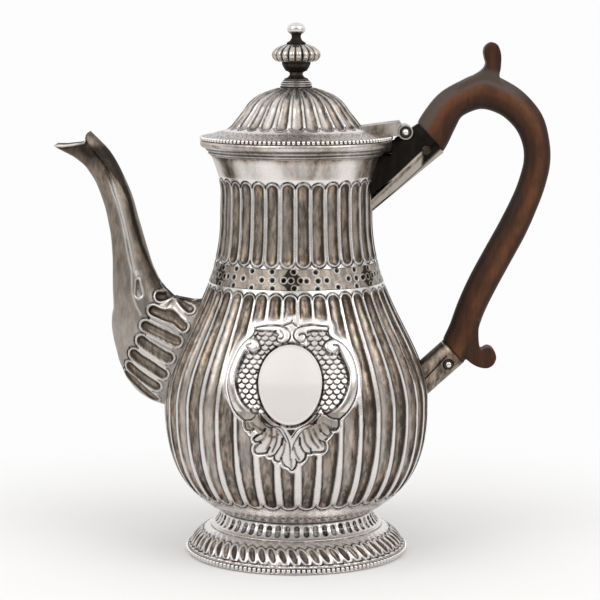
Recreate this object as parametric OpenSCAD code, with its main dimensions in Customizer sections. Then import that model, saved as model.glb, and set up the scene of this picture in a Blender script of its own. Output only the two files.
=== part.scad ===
// Baluster coffee pot in sheet silver, with a cast spout, a hinged lid and a wooden handle.
// Millimetres, +Z up. The origin is the centre of the face that the foot rests on.
// The spout points to -X and the handle to +X.

/* [Foot] */
// Radius of the foot at the table
foot_r = 56.2; // [48:0.2:66]
// Height of the foot, from the table to the underside of the body
foot_h = 21.5; // [18:0.5:30]
// Radius of the foot where it meets the body
foot_top_r = 38.6; // [33:0.2:42]
// Radius of the step between the cove and the ovolo
foot_step_r = 44; // [43:0.2:47]
// Height of that step above the table
foot_step_z = 14; // [11:0.5:16]
// Thickness of the foot's metal
foot_wall = 0.9; // [0.7:0.1:1.6]
// Height of the rim ring under the foot
rim_h = 3; // [2:0.1:4]
// Width of the rim ring, inwards from its edge
rim_w = 3.4; // [2.5:0.1:6]
// Radius of the beads round the foot
foot_bead_r = 0.95; // [0.6:0.05:1.2]

/* [Body] */
// Largest radius of the belly
belly_r = 67.4; // [62:0.2:78]
// Height of the widest place above the foot
belly_rise = 56; // [48:0.5:68]
// Smallest radius of the neck
neck_r = 38.4; // [35:0.2:42]
// Height of the narrowest place above the widest
neck_rise = 95.5; // [85:0.5:110]
// Radius of the neck just under the mouth
mouth_r = 43.2; // [42.4:0.1:46]
// Height from the narrowest place to the mouth's collar
mouth_rise = 31; // [26:0.5:36]
// Height of the straight collar at the mouth
collar_h = 7; // [6:0.5:9]
// Thickness of the body's metal
wall = 0.8; // [0.7:0.05:1.4]

/* [Mouth moulding] */
// How far the moulding's edge stands out from the collar
moulding_w = 5.4; // [4:0.1:7]
// Height of the moulding below the seat of the lid
moulding_h = 7.6; // [6.5:0.1:9]

/* [Lid] */
// How far inside the mouth moulding's edge the middle of the lid's beads lies
lid_inset = 0.7; // [0.5:0.1:1.5]
// Radius of the dome's foot on the flange
dome_r = 31.5; // [29:0.1:34]
// Height of the flange's rise up to the dome
flange_rise = 4.2; // [3:0.1:6]
// Height of the dome above the flange
dome_rise = 20; // [16:0.5:26]
// Thickness of the lid's metal
lid_wall = 0.8; // [0.7:0.05:1.4]
// Radius of the beads round the lid
lid_bead_r = 0.95; // [0.6:0.05:1.2]
// Depth that the bezel reaches into the mouth
bezel_depth = 5.5; // [4:0.1:6.5]
// Clearance between the bezel and the mouth
bezel_gap = 0.8; // [0.6:0.05:1.2]

/* [Finial] */
// Radius of the finial's stepped base
finial_base_r = 8.05; // [6.5:0.05:10]
// Height of the stepped base, up to its thin neck
finial_base_h = 7.6; // [6.5:0.1:9]
// Radius of the lobed knop
knop_r = 12.75; // [10:0.05:15]
// Height of the cup and the knop together
knop_h = 14.3; // [12:0.1:17]
// Number of lobes round the knop
knop_lobes = 20; // [12:1:24]
// Radius of the bud at the top
bud_r = 4.7; // [3.5:0.1:6]
// Height of the bud and its stem
bud_h = 10.7; // [9:0.1:13]
// Radius of the threaded stud through the finial
stud_r = 1.5; // [1.2:0.1:1.7]
// Radius of the nut inside the lid
nut_r = 4; // [3:0.1:5]
// Thickness of that nut
nut_h = 2.4; // [1.6:0.1:3]

/* [Lid hinge] */
// Distance of the hinge pin outside the mouth moulding's edge
hinge_out = 6.2; // [5.8:0.1:8]
// Height of the hinge pin above the lid's seat
hinge_rise = 4.3; // [3.8:0.1:5]
// Radius of the hinge knuckles
knuckle_r = 3.7; // [3:0.1:4.2]
// Length of the middle knuckle, which turns with the lid
mid_knuckle_l = 8; // [6:0.5:9]
// Length of each outer knuckle
side_knuckle_l = 4.5; // [3:0.5:5]
// Gap between the knuckles
knuckle_gap = 0.3; // [0.2:0.05:0.5]
// Radius of the hinge pin
hinge_pin_r = 1.1; // [0.8:0.05:1.5]
// Running clearance round the hinge pin
pin_clearance = 0.05; // [0.02:0.01:0.1]
// Radius of the balls at the pin's ends
pin_ball_r = 1.75; // [1.6:0.05:2]

/* [Spout] */
// Distance of the lip's tip in front of the belly's widest place
spout_reach = 55.4; // [50:0.2:60]
// Height of the lip's tip above the belly's widest place
spout_rise = 131.4; // [125:0.2:136]
// Half the width of the spout where it meets the body
spout_base_w = 14.5; // [12:0.1:17]
// Half the width of the spout at its lip
spout_lip_w = 6.4; // [5.5:0.1:8]
// Thickness of the spout's cast wall
spout_wall = 1.6; // [1.2:0.1:2]
// Number of holes pierced through the body behind the spout
strainer_rings = 2; // [1:1:2]
// Radius of those holes
strainer_hole_r = 1.7; // [1.2:0.1:2]
// Spacing of those holes
strainer_pitch = 6; // [5:0.1:7]

/* [Handle] */
// Distance of the upper socket's mouth outside the hinge pin
socket_out = 13; // [11.5:0.1:16]
// Height of the upper socket's mouth above the neck's narrowest place
socket_rise = 39; // [37:0.1:42]
// Slope of the upper socket, up from level
socket_slope = 42; // [38:1:46]
// Radius of the upper socket's mouth
socket_r = 9.5; // [8.8:0.1:10.5]
// Distance of the lower socket's mouth outside the belly's widest place
low_socket_out = 12.7; // [10:0.1:16]
// Height of the lower socket's mouth above the widest place
low_socket_rise = 25.4; // [20:0.2:30]
// Slope of the lower socket, up from level
low_socket_slope = 42; // [36:1:48]
// Radius of the lower socket
low_socket_r = 7.8; // [7:0.1:9]
// Thickness of the sockets' metal
socket_wall = 1.2; // [1:0.1:1.8]
// Depth of the wood inside each socket
tenon_l = 12; // [9.5:0.5:14]
// Clearance between the wood and its socket
tenon_gap = 0.1; // [0.05:0.05:0.3]
// Half the handle's width across, compared with its half depth
grip_flatness = 0.86; // [0.75:0.01:1]
// Radius of the pins through the sockets
handle_pin_r = 1.3; // [1:0.05:1.6]
// Radius of those pins' round heads
handle_pin_head_r = 2.2; // [2:0.05:2.8]

/* [Hidden] */
$fn = 96;

silver = [0.80, 0.78, 0.76];
dark_silver = [0.62, 0.60, 0.59];
brown_wood = [0.36, 0.25, 0.17];

eps = 0.01;
moulding_edge = mouth_r + moulding_w;
lid_r = moulding_edge - lid_inset;
hinge_x = moulding_edge + hinge_out;
socket_x = hinge_x + socket_out;
belly_z = foot_h + belly_rise;
neck_z = belly_z + neck_rise;
mouth_z = neck_z + mouth_rise;
seat_z = mouth_z + collar_h;
hinge_z = seat_z + hinge_rise;
lid_lift = 0.3;
flange_z = seat_z + 2 * lid_bead_r + lid_lift;
dome_z = flange_z + flange_rise;
finial_z = dome_z + dome_rise;
knop_z = finial_z + finial_base_h;
bud_z = knop_z + knop_h;
top_z = bud_z + bud_h;

// A cubic curve from a to d, drawn towards b and c.
function curve(a, b, c, d, n = 10) = [for (i = [0:n]) let (t = i / n)
    pow(1 - t, 3) * a + 3 * pow(1 - t, 2) * t * b + 3 * (1 - t) * t * t * c + t * t * t * d];
// The same curve without its first point, to join curves end to end.
function tail(p) = [for (i = [1:len(p) - 1]) p[i]];
function reversed(p) = [for (i = [len(p) - 1:-1:0]) p[i]];
// Points moved by d to the left of the way they run.
function inset(p, d) = [for (i = [0:len(p) - 1])
    let (v = p[min(i + 1, len(p) - 1)] - p[max(i - 1, 0)]) p[i] + d * [-v[1], v[0]] / norm(v)];
// A smooth run through hand-placed points, with n steps between each two.
function through(p, n = 4) = [for (i = [0:len(p) - 2]) for (k = [0:n - (i < len(p) - 2 ? 1 : 0)])
    let (t = k / n, a = p[max(i - 1, 0)], b = p[i], c = p[i + 1], d = p[min(i + 2, len(p) - 1)])
    0.5 * (2 * b + (c - a) * t + (2 * a - 5 * b + 4 * c - d) * t * t
        + (3 * b - a - 3 * c + d) * t * t * t)];

// ---- body ----

body_curve = concat(
    curve([foot_top_r - 0.6, foot_h], [foot_top_r + 22, foot_h + 11], [belly_r, belly_z - 27],
        [belly_r, belly_z], 14),
    tail(curve([belly_r, belly_z], [belly_r, belly_z + 0.325 * neck_rise],
        [neck_r, neck_z - 0.47 * neck_rise], [neck_r, neck_z], 16)),
    tail(curve([neck_r, neck_z], [neck_r, neck_z + 12], [mouth_r - 6.8, mouth_z - 16.8],
        [mouth_r, mouth_z], 8)));
body_outline = concat(body_curve, [[mouth_r, seat_z]]);
function body_radius_at(z) = lookup(z, [for (p = body_outline) [p[1], p[0]]]);

// The space that the body takes up, without its hollow.
module body_envelope() {
    rotate_extrude() polygon(concat([[0, foot_h]], body_outline, [[0, seat_z]]));
}

// ---- places that several pieces share ----

spout_axis_z = belly_z + 0.19 * spout_rise;
bezel_r = mouth_r - wall - bezel_gap;
socket_dir = [cos(socket_slope), 0, sin(socket_slope)];
socket_mouth = [socket_x, 0, neck_z + socket_rise];
low_socket_dir = [cos(low_socket_slope), 0, sin(low_socket_slope)];
low_socket_mouth = [belly_r + low_socket_out, 0, belly_z + low_socket_rise];
handle_pin_back = 5.8;
handle_pin_low = 2.3;

// Stands a shape that is built along +Z on a socket's mouth, pointing out of the socket.
module at_upper_socket() {
    translate(socket_mouth) rotate([0, 90 - socket_slope, 0]) children();
}
module at_lower_socket() {
    translate(low_socket_mouth) rotate([0, 90 - low_socket_slope, 0]) children();
}
// A bar across a socket, where its pin goes.
module across_socket(r, l) {
    translate([handle_pin_low, 0, -handle_pin_back]) rotate([90, 0, 0])
        cylinder(h = l, r = r, center = true, $fn = 32);
}
// A bar along the hinge's axis.
module hinge_bar(r, l, y = 0) {
    translate([hinge_x, y, hinge_z]) rotate([90, 0, 0]) cylinder(h = l, r = r, center = true, $fn = 48);
}

module body() color(silver) difference() {
    body_envelope();
    rotate_extrude() polygon(concat([[0, foot_h + wall]], inside_outline, [[0, seat_z + 1]]));
    strainer_holes();
}
inside_curve = inset(body_curve, wall);
inside_outline = concat([for (p = inside_curve) if (p[1] > foot_h + wall + 0.5) p],
    [[mouth_r - wall, mouth_z + 0.4], [mouth_r - wall, seat_z + 1]]);

// The holes that let the coffee into the spout, in rings round a middle hole.
module strainer_holes() {
    translate([0, 0, spout_axis_z]) for (ring = [0:strainer_rings])
        for (k = [0:max(6 * ring, 1) - 1]) let (a = ring ? 360 * k / (6 * ring) : 0)
            translate([0, 0.75 * ring * strainer_pitch * cos(a), ring * strainer_pitch * sin(a)])
                rotate([0, -90, 0]) cylinder(h = belly_r + 5, r = strainer_hole_r, $fn = 24);
}

// ---- mouth moulding ----

module mouth_moulding() color(silver) rotate_extrude() {
    edge = moulding_edge;
    low = seat_z - moulding_h;
    polygon(concat(
        [[mouth_r, seat_z], [mouth_r, low], [mouth_r + 0.4, low + 0.3]],
        [[mouth_r + 0.4, low + 0.6], [mouth_r + 1.4, low + 1.1], [mouth_r + 0.9, low + 1.9]],
        [[mouth_r + 2.2, low + 2.4], [mouth_r + 2.4, low + 3.7]],
        curve([mouth_r + 2.9, low + 3.8], [mouth_r + 4, low + 4], [edge, low + 4.6],
            [edge, seat_z - 1.7], 5),
        [[edge, seat_z - 0.3], [edge - 0.3, seat_z]]));
}

// ---- foot ----

foot_outline = concat(
    [[foot_r - 0.6, rim_h], [foot_r - 1.2, rim_h + 0.9]],
    curve([foot_r - 2.2, rim_h + 1.3], [foot_r - 3, rim_h + 5.2], [foot_step_r + 5, foot_step_z - 2.4],
        [foot_step_r + 0.6, foot_step_z - 0.9], 8),
    [[foot_step_r + 0.4, foot_step_z], [foot_step_r - 0.8, foot_step_z + 0.5]],
    curve([foot_step_r - 1.8, foot_step_z + 0.9], [foot_step_r - 3.6, foot_step_z + 2.2],
        [foot_top_r + 0.6, foot_h - 3.2], [foot_top_r + 0.3, foot_h - 0.7], 6),
    [[foot_top_r, foot_h]]);

module foot() color(silver) rotate_extrude()
    polygon(concat(foot_outline, [[foot_top_r - 4, foot_h], [foot_top_r - 4, foot_h - foot_wall]],
        reversed([for (p = inset(foot_outline, foot_wall)) if (p[1] < foot_h - foot_wall - 0.4
            && p[1] > rim_h + 0.3) p]), [[foot_r - 0.6 - foot_wall, rim_h]]));

module foot_rim() color(silver) rotate_extrude() polygon([[foot_r - rim_w, 0], [foot_r, 0],
    [foot_r, rim_h], [foot_r - rim_w, rim_h]]);

module foot_bead_wire() color(dark_silver) difference() {
    rotate_extrude() translate([foot_r, rim_h / 2 + 0.4]) circle(r = foot_bead_r, $fn = 24);
    cylinder(h = rim_h + 2, r = foot_r);
}

// ---- spout ----

// Stations along the spout in the XZ plane, from the belly's widest place: how far out and up, the
// depth compared with the width, and how far the width still is from the lip's, from 1 to 0.
// The root is in shares of the body's radius and neck, and the rest of the lip's reach and rise.
spout_root = [
    [-0.475, 0.241, 1.966, 1],
    [-0.208, 0.251, 1.966, 1],
    [-0.037, 0.307, 2.023, 0.98]];
spout_line = [
    [0.155, 0.308, 1.541, 0.86],
    [0.224, 0.396, 1.226, 0.7],
    [0.278, 0.493, 1.058, 0.54],
    [0.314, 0.586, 0.975, 0.4],
    [0.366, 0.696, 0.955, 0.27],
    [0.43, 0.801, 0.99, 0.17],
    [0.563, 0.922, 1.077, 0.07],
    [0.704, 0.988, 1.173, 0.02],
    [0.903, 1.055, 1.375, 0]];
function spout_station(p, reach, rise) = let (w = spout_lip_w + (spout_base_w - spout_lip_w) * p[3])
    [p[0] * reach, p[1] * rise, p[2] * w, w];
spout_path = through(concat([for (p = spout_root) spout_station(p, belly_r, neck_rise)],
    [for (p = spout_line) spout_station(p, spout_reach, spout_rise)]), 3);
function spout_dir(i) = let (v = spout_path[min(i + 1, len(spout_path) - 1)]
    - spout_path[max(i - 1, 0)]) [v[0], v[1]] / norm([v[0], v[1]]);
// A point of the spout's section: a = 0 is the outer edge, 90 the near side, 180 the inner edge.
function spout_point(i, a, d) = let (p = spout_path[i], v = spout_dir(i), u = (p[2] - d) * cos(a))
    [-belly_r - p[0] - u * v[1], -(p[3] - d) * sin(a), belly_z + p[1] - u * v[0]];

module spout_half(side) {
    m = 10;
    n = len(spout_path);
    c = 2 * m + 2;
    rows = [for (i = [0:n - 1]) concat(
        [for (k = [0:m]) spout_point(i, side * 180 * k / m, 0)],
        [for (k = [m:-1:0]) spout_point(i, side * 180 * k / m, spout_wall)])];
    faces = concat(
        [for (i = [0:n - 2]) for (k = [0:c - 1]) let (k2 = (k + 1) % c)
            [i * c + k, i * c + k2, (i + 1) * c + k2, (i + 1) * c + k]],
        [[for (k = [c - 1:-1:0]) k]], [[for (k = [0:c - 1]) (n - 1) * c + k]]);
    difference() {
        polyhedron([for (r = rows) for (q = r) [q[0], abs(q[1]) < eps ? 0 : q[1], q[2]]],
            side > 0 ? faces : [for (f = faces) reversed(f)], convexity = 6);
        body_envelope();
        spout_lip_cut();
    }
}
// The lip's top edge from its tip inwards, compared with its half width.
lip_step = [[0, 0], [2.41, 0.28], [2.63, 1.03], [3, 1.25]];
// What is cut away above the lip, which is level to the step and raised behind it.
module spout_lip_cut() {
    translate([-belly_r - spout_reach, 0, belly_z + spout_rise]) rotate([90, 0, 0])
        linear_extrude(height = 4 * spout_base_w, center = true)
            polygon(spout_lip_w * concat(lip_step, [[3, 6], [-3, 6], [-3, 0]]));
}
module spout_near_half() color(silver) spout_half(1);
module spout_far_half() color(silver) spout_half(-1);

// ---- handle sockets ----

socket_bore_r = socket_r - socket_wall;
low_socket_bore_r = low_socket_r - socket_wall;
socket_pin_seat = socket_r - 0.5;
low_socket_pin_seat = low_socket_r - 0.5;
pin_head_h = 1.3;
lid_sweep_r = lid_r + lid_bead_r + 0.9;

// The two heads of a pin that crosses a socket.
module pin_heads(seat) {
    for (side = [-1, 1]) translate([handle_pin_low, side * (seat + pin_head_h / 2), -handle_pin_back])
        rotate([90, 0, 0]) cylinder(h = pin_head_h, r = handle_pin_head_r, center = true, $fn = 32);
}

module upper_handle_socket() color(silver) difference() {
    hull() {
        at_upper_socket() translate([0, 0, -1]) rotate(22.5)
            cylinder(h = 1, r = socket_r / cos(22.5), $fn = 8);
        translate([neck_r - 4, 0, neck_z + 14]) rotate([0, 90, 0]) rotate(22.5)
            resize([34, 2 * socket_r, 1]) cylinder(h = 1, r = socket_r, $fn = 8);
    }
    body_envelope();
    translate([0, 0, seat_z - moulding_h]) cylinder(h = moulding_h + eps, r = moulding_edge);
    translate([0, 0, seat_z]) cylinder(h = 30, r = lid_sweep_r);
    at_upper_socket() translate([0, 0, -socket_x]) cylinder(h = socket_x + 1, r = socket_bore_r);
    at_upper_socket() across_socket(handle_pin_r + pin_clearance, 3 * socket_r);
    at_upper_socket() pin_heads(socket_pin_seat);
    hinge_bar(knuckle_r, 2 * hinge_half_l);
    hinge_bar(knuckle_r + knuckle_gap + 0.1, mid_knuckle_l + 2 * knuckle_gap);
}

module lower_handle_socket() color(silver) difference() {
    at_lower_socket() translate([0, 0, -0.67 * belly_r])
        cylinder(h = 0.67 * belly_r, r = low_socket_r, $fn = 64);
    body_envelope();
    at_lower_socket() translate([0, 0, -belly_r]) cylinder(h = belly_r + 1, r = low_socket_bore_r, $fn = 64);
    at_lower_socket() across_socket(handle_pin_r + pin_clearance, 3 * low_socket_r);
    at_lower_socket() pin_heads(low_socket_pin_seat);
}

module upper_handle_pin() color(dark_silver) at_upper_socket() {
    across_socket(handle_pin_r, 2 * socket_pin_seat + 0.2);
    pin_heads(socket_pin_seat);
}
module lower_handle_pin() color(dark_silver) at_lower_socket() {
    across_socket(handle_pin_r, 2 * low_socket_pin_seat + 0.2);
    pin_heads(low_socket_pin_seat);
}

// ---- handle ----

// Stations along the grip, each [out, up, half depth] for sockets 109.1 apart in height. The first
// run is placed from the upper socket's mouth and the second from the lower socket's mouth.
grip_top = [[0, 0, 9.5], [4.1, 8.2, 9], [9.6, 16.1, 8.2], [17.6, 20.9, 8.2], [26.2, 23.4, 9],
    [34.8, 20.9, 8.4], [42.6, 16, 7.9], [49.7, 7.7, 7.5], [53.2, -2.4, 7], [53.8, -12, 7]];
grip_low = [[39.5, 87.6, 7], [36.2, 78.1, 6.9], [29.8, 63.9, 7.3], [21.9, 49.1, 7.4],
    [14.5, 35.1, 7.4], [8.9, 22.8, 7.5], [4.6, 10.6, 7.8], [0, 0, 7.8]];
grip_unit = (socket_mouth[2] - low_socket_mouth[2]) / 109.1;
grip_stations = concat(
    [for (p = grip_top) [socket_mouth[0] + grip_unit * p[0], socket_mouth[2] + grip_unit * p[1],
        p[2] * socket_r / grip_top[0][2]]],
    [for (p = grip_low) [low_socket_mouth[0] + grip_unit * p[0], low_socket_mouth[2] + grip_unit * p[1],
        p[2] * low_socket_r / grip_low[7][2]]]);
grip_path = through(grip_stations, 2);
thumb_rest = grip_unit * [30.2, 44.2, 4.4];
thumb_rest_foot = grip_unit * [30.8, 30, 4.3];
thumb_rest_w = grip_unit * 11.5;
scroll = grip_unit * [16.3, -3.4, 5.1];
scroll_foot = grip_unit * [7.6, 3, 5.6];
scroll_w = grip_unit * 12;
// The way the grip runs at a station; its ends follow the sockets.
function grip_dir(i) = let (n = len(grip_path), v = grip_path[min(i + 1, n - 1)] - grip_path[max(i - 1, 0)])
    i == 0 ? [socket_dir[0], socket_dir[2]] : i == n - 1 ? [-low_socket_dir[0], -low_socket_dir[2]]
    : [v[0], v[1]] / norm([v[0], v[1]]);
function grip_ring(i, m) = let (p = grip_path[i], v = grip_dir(i)) [for (k = [0:m - 1])
    let (a = 360 * (k + 0.5) / m, u = p[2] * cos(a), w = p[2] * grip_flatness * sin(a))
    [p[0] - u * v[1], w, p[1] + u * v[0]]];

module grip() {
    m = 14;
    n = len(grip_path);
    rings = [for (i = [0:n - 1]) grip_ring(i, m)];
    polyhedron([for (r = rings) for (q = r) q], concat(
        [for (i = [0:n - 2]) for (k = [0:m - 1]) let (k2 = (k + 1) % m)
            [i * m + k, i * m + k2, (i + 1) * m + k2, (i + 1) * m + k]],
        [[for (k = [m - 1:-1:0]) k]], [[for (k = [0:m - 1]) (n - 1) * m + k]]), convexity = 6);
}
// A rounded bar across the handle, between two places in the XZ plane.
module lobe(a, b, w) {
    hull() for (p = [a, b]) translate([p[0], 0, p[1]]) rotate([90, 0, 0]) {
        cylinder(h = w - 3, r = p[2], center = true, $fn = 32);
        cylinder(h = w, r = p[2] - 1.5, center = true, $fn = 32);
    }
}
module handle() color(brown_wood) difference() {
    union() {
        grip();
        translate([socket_mouth[0], 0, socket_mouth[2]])
            lobe(thumb_rest, thumb_rest_foot, thumb_rest_w);
        translate([low_socket_mouth[0], 0, low_socket_mouth[2]])
            lobe(scroll, scroll_foot, scroll_w);
        at_upper_socket() translate([0, 0, -tenon_l])
            cylinder(h = tenon_l + 4, r = socket_bore_r - tenon_gap);
        at_lower_socket() translate([0, 0, -tenon_l])
            cylinder(h = tenon_l + 3, r = low_socket_bore_r - tenon_gap, $fn = 64);
    }
    at_upper_socket() across_socket(handle_pin_r + pin_clearance, 3 * socket_r);
    at_lower_socket() across_socket(handle_pin_r + pin_clearance, 3 * low_socket_r);
    hinge_bar(knuckle_r + knuckle_gap + 0.1, 2 * hinge_half_l);
}

// ---- lid hinge ----

hinge_half_l = mid_knuckle_l / 2 + knuckle_gap + side_knuckle_l;

module side_knuckle(side) {
    difference() {
        hinge_bar(knuckle_r, side_knuckle_l, side * (hinge_half_l - side_knuckle_l / 2));
        hinge_bar(hinge_pin_r + pin_clearance, 4 * hinge_half_l);
    }
}
module near_hinge_knuckle() color(silver) side_knuckle(-1);
module far_hinge_knuckle() color(silver) side_knuckle(1);

module hinge_pin() color(dark_silver) {
    hinge_bar(hinge_pin_r, 2 * hinge_half_l + 1);
    difference() {
        for (side = [-1, 1]) translate([hinge_x, side * (hinge_half_l + 0.6 * pin_ball_r), hinge_z])
            sphere(r = pin_ball_r, $fn = 32);
        hinge_bar(2 * pin_ball_r, 2 * hinge_half_l);
    }
}

module lid_hinge_knuckle() color(silver) difference() {
    hinge_bar(knuckle_r, mid_knuckle_l);
    hinge_bar(hinge_pin_r + pin_clearance, 4 * hinge_half_l);
}

module lid_hinge_leaf() color(silver) difference() {
    rotate([90, 0, 0]) linear_extrude(height = 2 * hinge_half_l, center = true) polygon([
        [dome_r - 3, seat_z], [dome_r - 3, dome_z], [dome_r + 3.4, dome_z + 0.9],
        [hinge_x - 2.6, hinge_z + 5.3], [hinge_x - 1.9, hinge_z + 3], [hinge_x - 1.9, hinge_z - 1.8],
        [lid_r + lid_bead_r + 0.2, flange_z + 0.1], [lid_r - 2, flange_z + 0.1], [lid_r - 2, seat_z]]);
    lid_envelope();
    hinge_bar(knuckle_r, 3 * hinge_half_l);
    for (side = [-1, 1]) hinge_bar(knuckle_r + knuckle_gap, side_knuckle_l + knuckle_gap + 1,
        side * (hinge_half_l + 0.5 - side_knuckle_l / 2 - knuckle_gap / 2));
}

// ---- lid ----

lid_edge_r = lid_r - 0.7;
lid_curve = concat(
    [[lid_edge_r - 0.5, flange_z]],
    curve([lid_edge_r - 1.5, flange_z + 0.15], [lid_edge_r - 8, flange_z + 2], [dome_r + 2.6, dome_z - 1.2],
        [dome_r + 0.4, dome_z + 1.6], 7),
    tail(curve([dome_r + 0.4, dome_z + 1.6], [dome_r - 2.8, dome_z + 6.4], [dome_r - 5.6, dome_z + 10],
        [dome_r - 7.6, dome_z + 13.4 * dome_rise / 20], 6)),
    tail(curve([dome_r - 7.6, dome_z + 13.4 * dome_rise / 20], [dome_r - 10, finial_z - 2.7],
        [finial_base_r + 6, finial_z - 1.1], [finial_base_r + 0.6, finial_z - 0.3], 6)));
lid_outline = concat([[lid_edge_r, seat_z], [lid_edge_r, flange_z - 0.4]], lid_curve,
    [[finial_base_r, finial_z], [0, finial_z]]);
lid_under = [for (p = inset(lid_curve, lid_wall)) if (p[0] < bezel_r - 0.3 && p[0] > finial_base_r) p];

module lid_envelope() {
    rotate_extrude() polygon(concat([[0, seat_z]], lid_outline));
}
module lid() color(silver) difference() {
    lid_envelope();
    rotate_extrude() polygon(concat([[0, seat_z - 1], [bezel_r, seat_z - 1],
        [bezel_r, lid_under[0][1] - 0.1]], lid_under, [[finial_base_r, finial_z - lid_wall],
        [0, finial_z - lid_wall]]));
    stud_bore();
}
stud_low = finial_z - lid_wall - nut_h - 0.8;
module stud_bore() {
    translate([0, 0, stud_low - 1])
        cylinder(h = bud_z + 3.2 - stud_low, r = stud_r + pin_clearance, $fn = 32);
}

module lid_bead_wire() color(dark_silver) difference() {
    rotate_extrude() translate([lid_r, seat_z + lid_bead_r + lid_lift]) circle(r = lid_bead_r, $fn = 24);
    translate([0, 0, seat_z - 1]) cylinder(h = 5, r = lid_edge_r);
}

module lid_bezel() color(silver) rotate_extrude() polygon([
    [bezel_r - 1, seat_z - bezel_depth], [bezel_r, seat_z - bezel_depth], [bezel_r, seat_z + 1.6],
    [bezel_r - 1, seat_z + 1.6]]);

// ---- finial ----

module finial_base() color(silver) difference() {
    rotate_extrude() polygon([
        [0, finial_z], [finial_base_r, finial_z], [finial_base_r, finial_z + 1.3],
        [finial_base_r - 0.5, finial_z + 1.6], [0.81 * finial_base_r, finial_z + 2.8],
        [0.73 * finial_base_r, finial_z + 3.6], [0.5 * finial_base_r, finial_z + 5],
        [0.4 * finial_base_r, finial_z + 6], [0.42 * finial_base_r, knop_z - 0.8],
        [0.46 * finial_base_r, knop_z], [0, knop_z]]);
    stud_bore();
}

melon_low = knop_z + 0.37 * knop_h;
melon_top = bud_z - 0.3;
function melon_outline(k) = concat(
    [[0, melon_low - 0.2], [0.68 * knop_r * k, melon_low]],
    tail(curve([0.68 * knop_r * k, melon_low], [0.98 * knop_r * k, melon_low + 0.02 * knop_h],
        [1.07 * knop_r * k, melon_low + 0.25 * knop_h], [0.93 * knop_r * k, melon_low + 0.38 * knop_h], 6)),
    tail(curve([0.93 * knop_r * k, melon_low + 0.38 * knop_h], [0.8 * knop_r * k, melon_low + 0.52 * knop_h],
        [0.55 * knop_r * k, melon_top - 0.2], [0.39 * knop_r, melon_top], 4)), [[0, melon_top]]);
module finial_knop() color(silver) difference() {
    union() {
        rotate_extrude() polygon([
            [0, knop_z], [0.46 * finial_base_r, knop_z], [0.44 * knop_r, knop_z + 0.9],
            [0.46 * knop_r, knop_z + 1.5], [0.53 * knop_r, knop_z + 3], [0.57 * knop_r, melon_low - 0.9],
            [0.68 * knop_r, melon_low], [0, melon_low]]);
        rotate_extrude() polygon(melon_outline(1));
        translate([0, 0, melon_top - 1]) cylinder(h = bud_z - melon_top + 1, r = 0.36 * knop_r);
    }
    for (k = [0:knop_lobes - 1]) rotate(360 * k / knop_lobes) difference() {
        translate([0, -0.25, melon_low + 0.5]) cube([2 * knop_r, 0.5, melon_top - melon_low - 1.2]);
        rotate_extrude() polygon(melon_outline(0.93));
    }
    stud_bore();
}

module finial_bud() color(silver) difference() {
    rotate_extrude() polygon(concat(
        [[0, bud_z], [bud_r, bud_z], [bud_r + 0.25, bud_z + 0.3], [0.8 * bud_r, bud_z + 0.7],
            [0.6 * bud_r, bud_z + 1.3], [0.46 * bud_r, bud_z + 2.6], [0.5 * bud_r, bud_z + 3.8],
            [0.64 * bud_r, top_z - 5.7]],
        tail(curve([0.64 * bud_r, top_z - 5.7], [1.18 * bud_r, top_z - 4.9], [1.25 * bud_r, top_z - 1],
            [0, top_z], 9))));
    stud_bore();
}

module finial_stud() color(dark_silver)
    translate([0, 0, stud_low]) cylinder(h = bud_z + 2 - stud_low, r = stud_r, $fn = 32);

module finial_nut() color(dark_silver) difference() {
    translate([0, 0, finial_z - lid_wall - nut_h]) cylinder(h = nut_h, r = nut_r, $fn = 6);
    stud_bore();
}

body();
mouth_moulding();
foot();
foot_rim();
foot_bead_wire();
spout_near_half();
spout_far_half();
upper_handle_socket();
lower_handle_socket();
handle();
upper_handle_pin();
lower_handle_pin();
near_hinge_knuckle();
far_hinge_knuckle();
hinge_pin();
lid();
lid_bead_wire();
lid_bezel();
lid_hinge_leaf();
lid_hinge_knuckle();
finial_base();
finial_knop();
finial_bud();
finial_stud();
finial_nut();
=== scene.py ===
"""Looks of a chased silver coffee pot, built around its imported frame. Sizes are in millimetres
until a mesh is written, and then in metres."""
import dataclasses
import math

import bpy
import numpy as np
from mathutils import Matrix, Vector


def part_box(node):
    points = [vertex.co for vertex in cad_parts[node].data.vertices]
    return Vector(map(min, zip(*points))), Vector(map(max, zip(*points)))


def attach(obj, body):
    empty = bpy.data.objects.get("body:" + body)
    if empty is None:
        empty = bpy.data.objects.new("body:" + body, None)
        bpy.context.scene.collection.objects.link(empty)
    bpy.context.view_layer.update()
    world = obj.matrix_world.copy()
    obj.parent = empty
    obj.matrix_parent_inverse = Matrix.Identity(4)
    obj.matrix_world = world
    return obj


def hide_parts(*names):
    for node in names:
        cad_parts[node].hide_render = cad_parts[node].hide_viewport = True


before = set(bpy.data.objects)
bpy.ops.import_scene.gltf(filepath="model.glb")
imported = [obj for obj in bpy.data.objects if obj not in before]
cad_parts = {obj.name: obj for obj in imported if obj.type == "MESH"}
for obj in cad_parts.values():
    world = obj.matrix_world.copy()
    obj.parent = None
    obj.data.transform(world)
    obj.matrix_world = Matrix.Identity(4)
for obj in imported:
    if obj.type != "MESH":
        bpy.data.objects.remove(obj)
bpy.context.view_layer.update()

MM = 0.001
TURN = 2 * math.pi


# ---------------------------------------------------------------- shader writing

class Value:
    """A socket's value. Arithmetic on it adds Math nodes."""

    def __init__(self, paint, socket):
        self.paint = paint
        self.socket = socket

    def __add__(self, other):
        return self.paint.math("ADD", self, other)

    def __sub__(self, other):
        return self.paint.math("SUBTRACT", self, other)

    def __rsub__(self, other):
        return self.paint.math("SUBTRACT", other, self)

    def __mul__(self, other):
        return self.paint.math("MULTIPLY", self, other)

    __radd__ = __add__
    __rmul__ = __mul__


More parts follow.
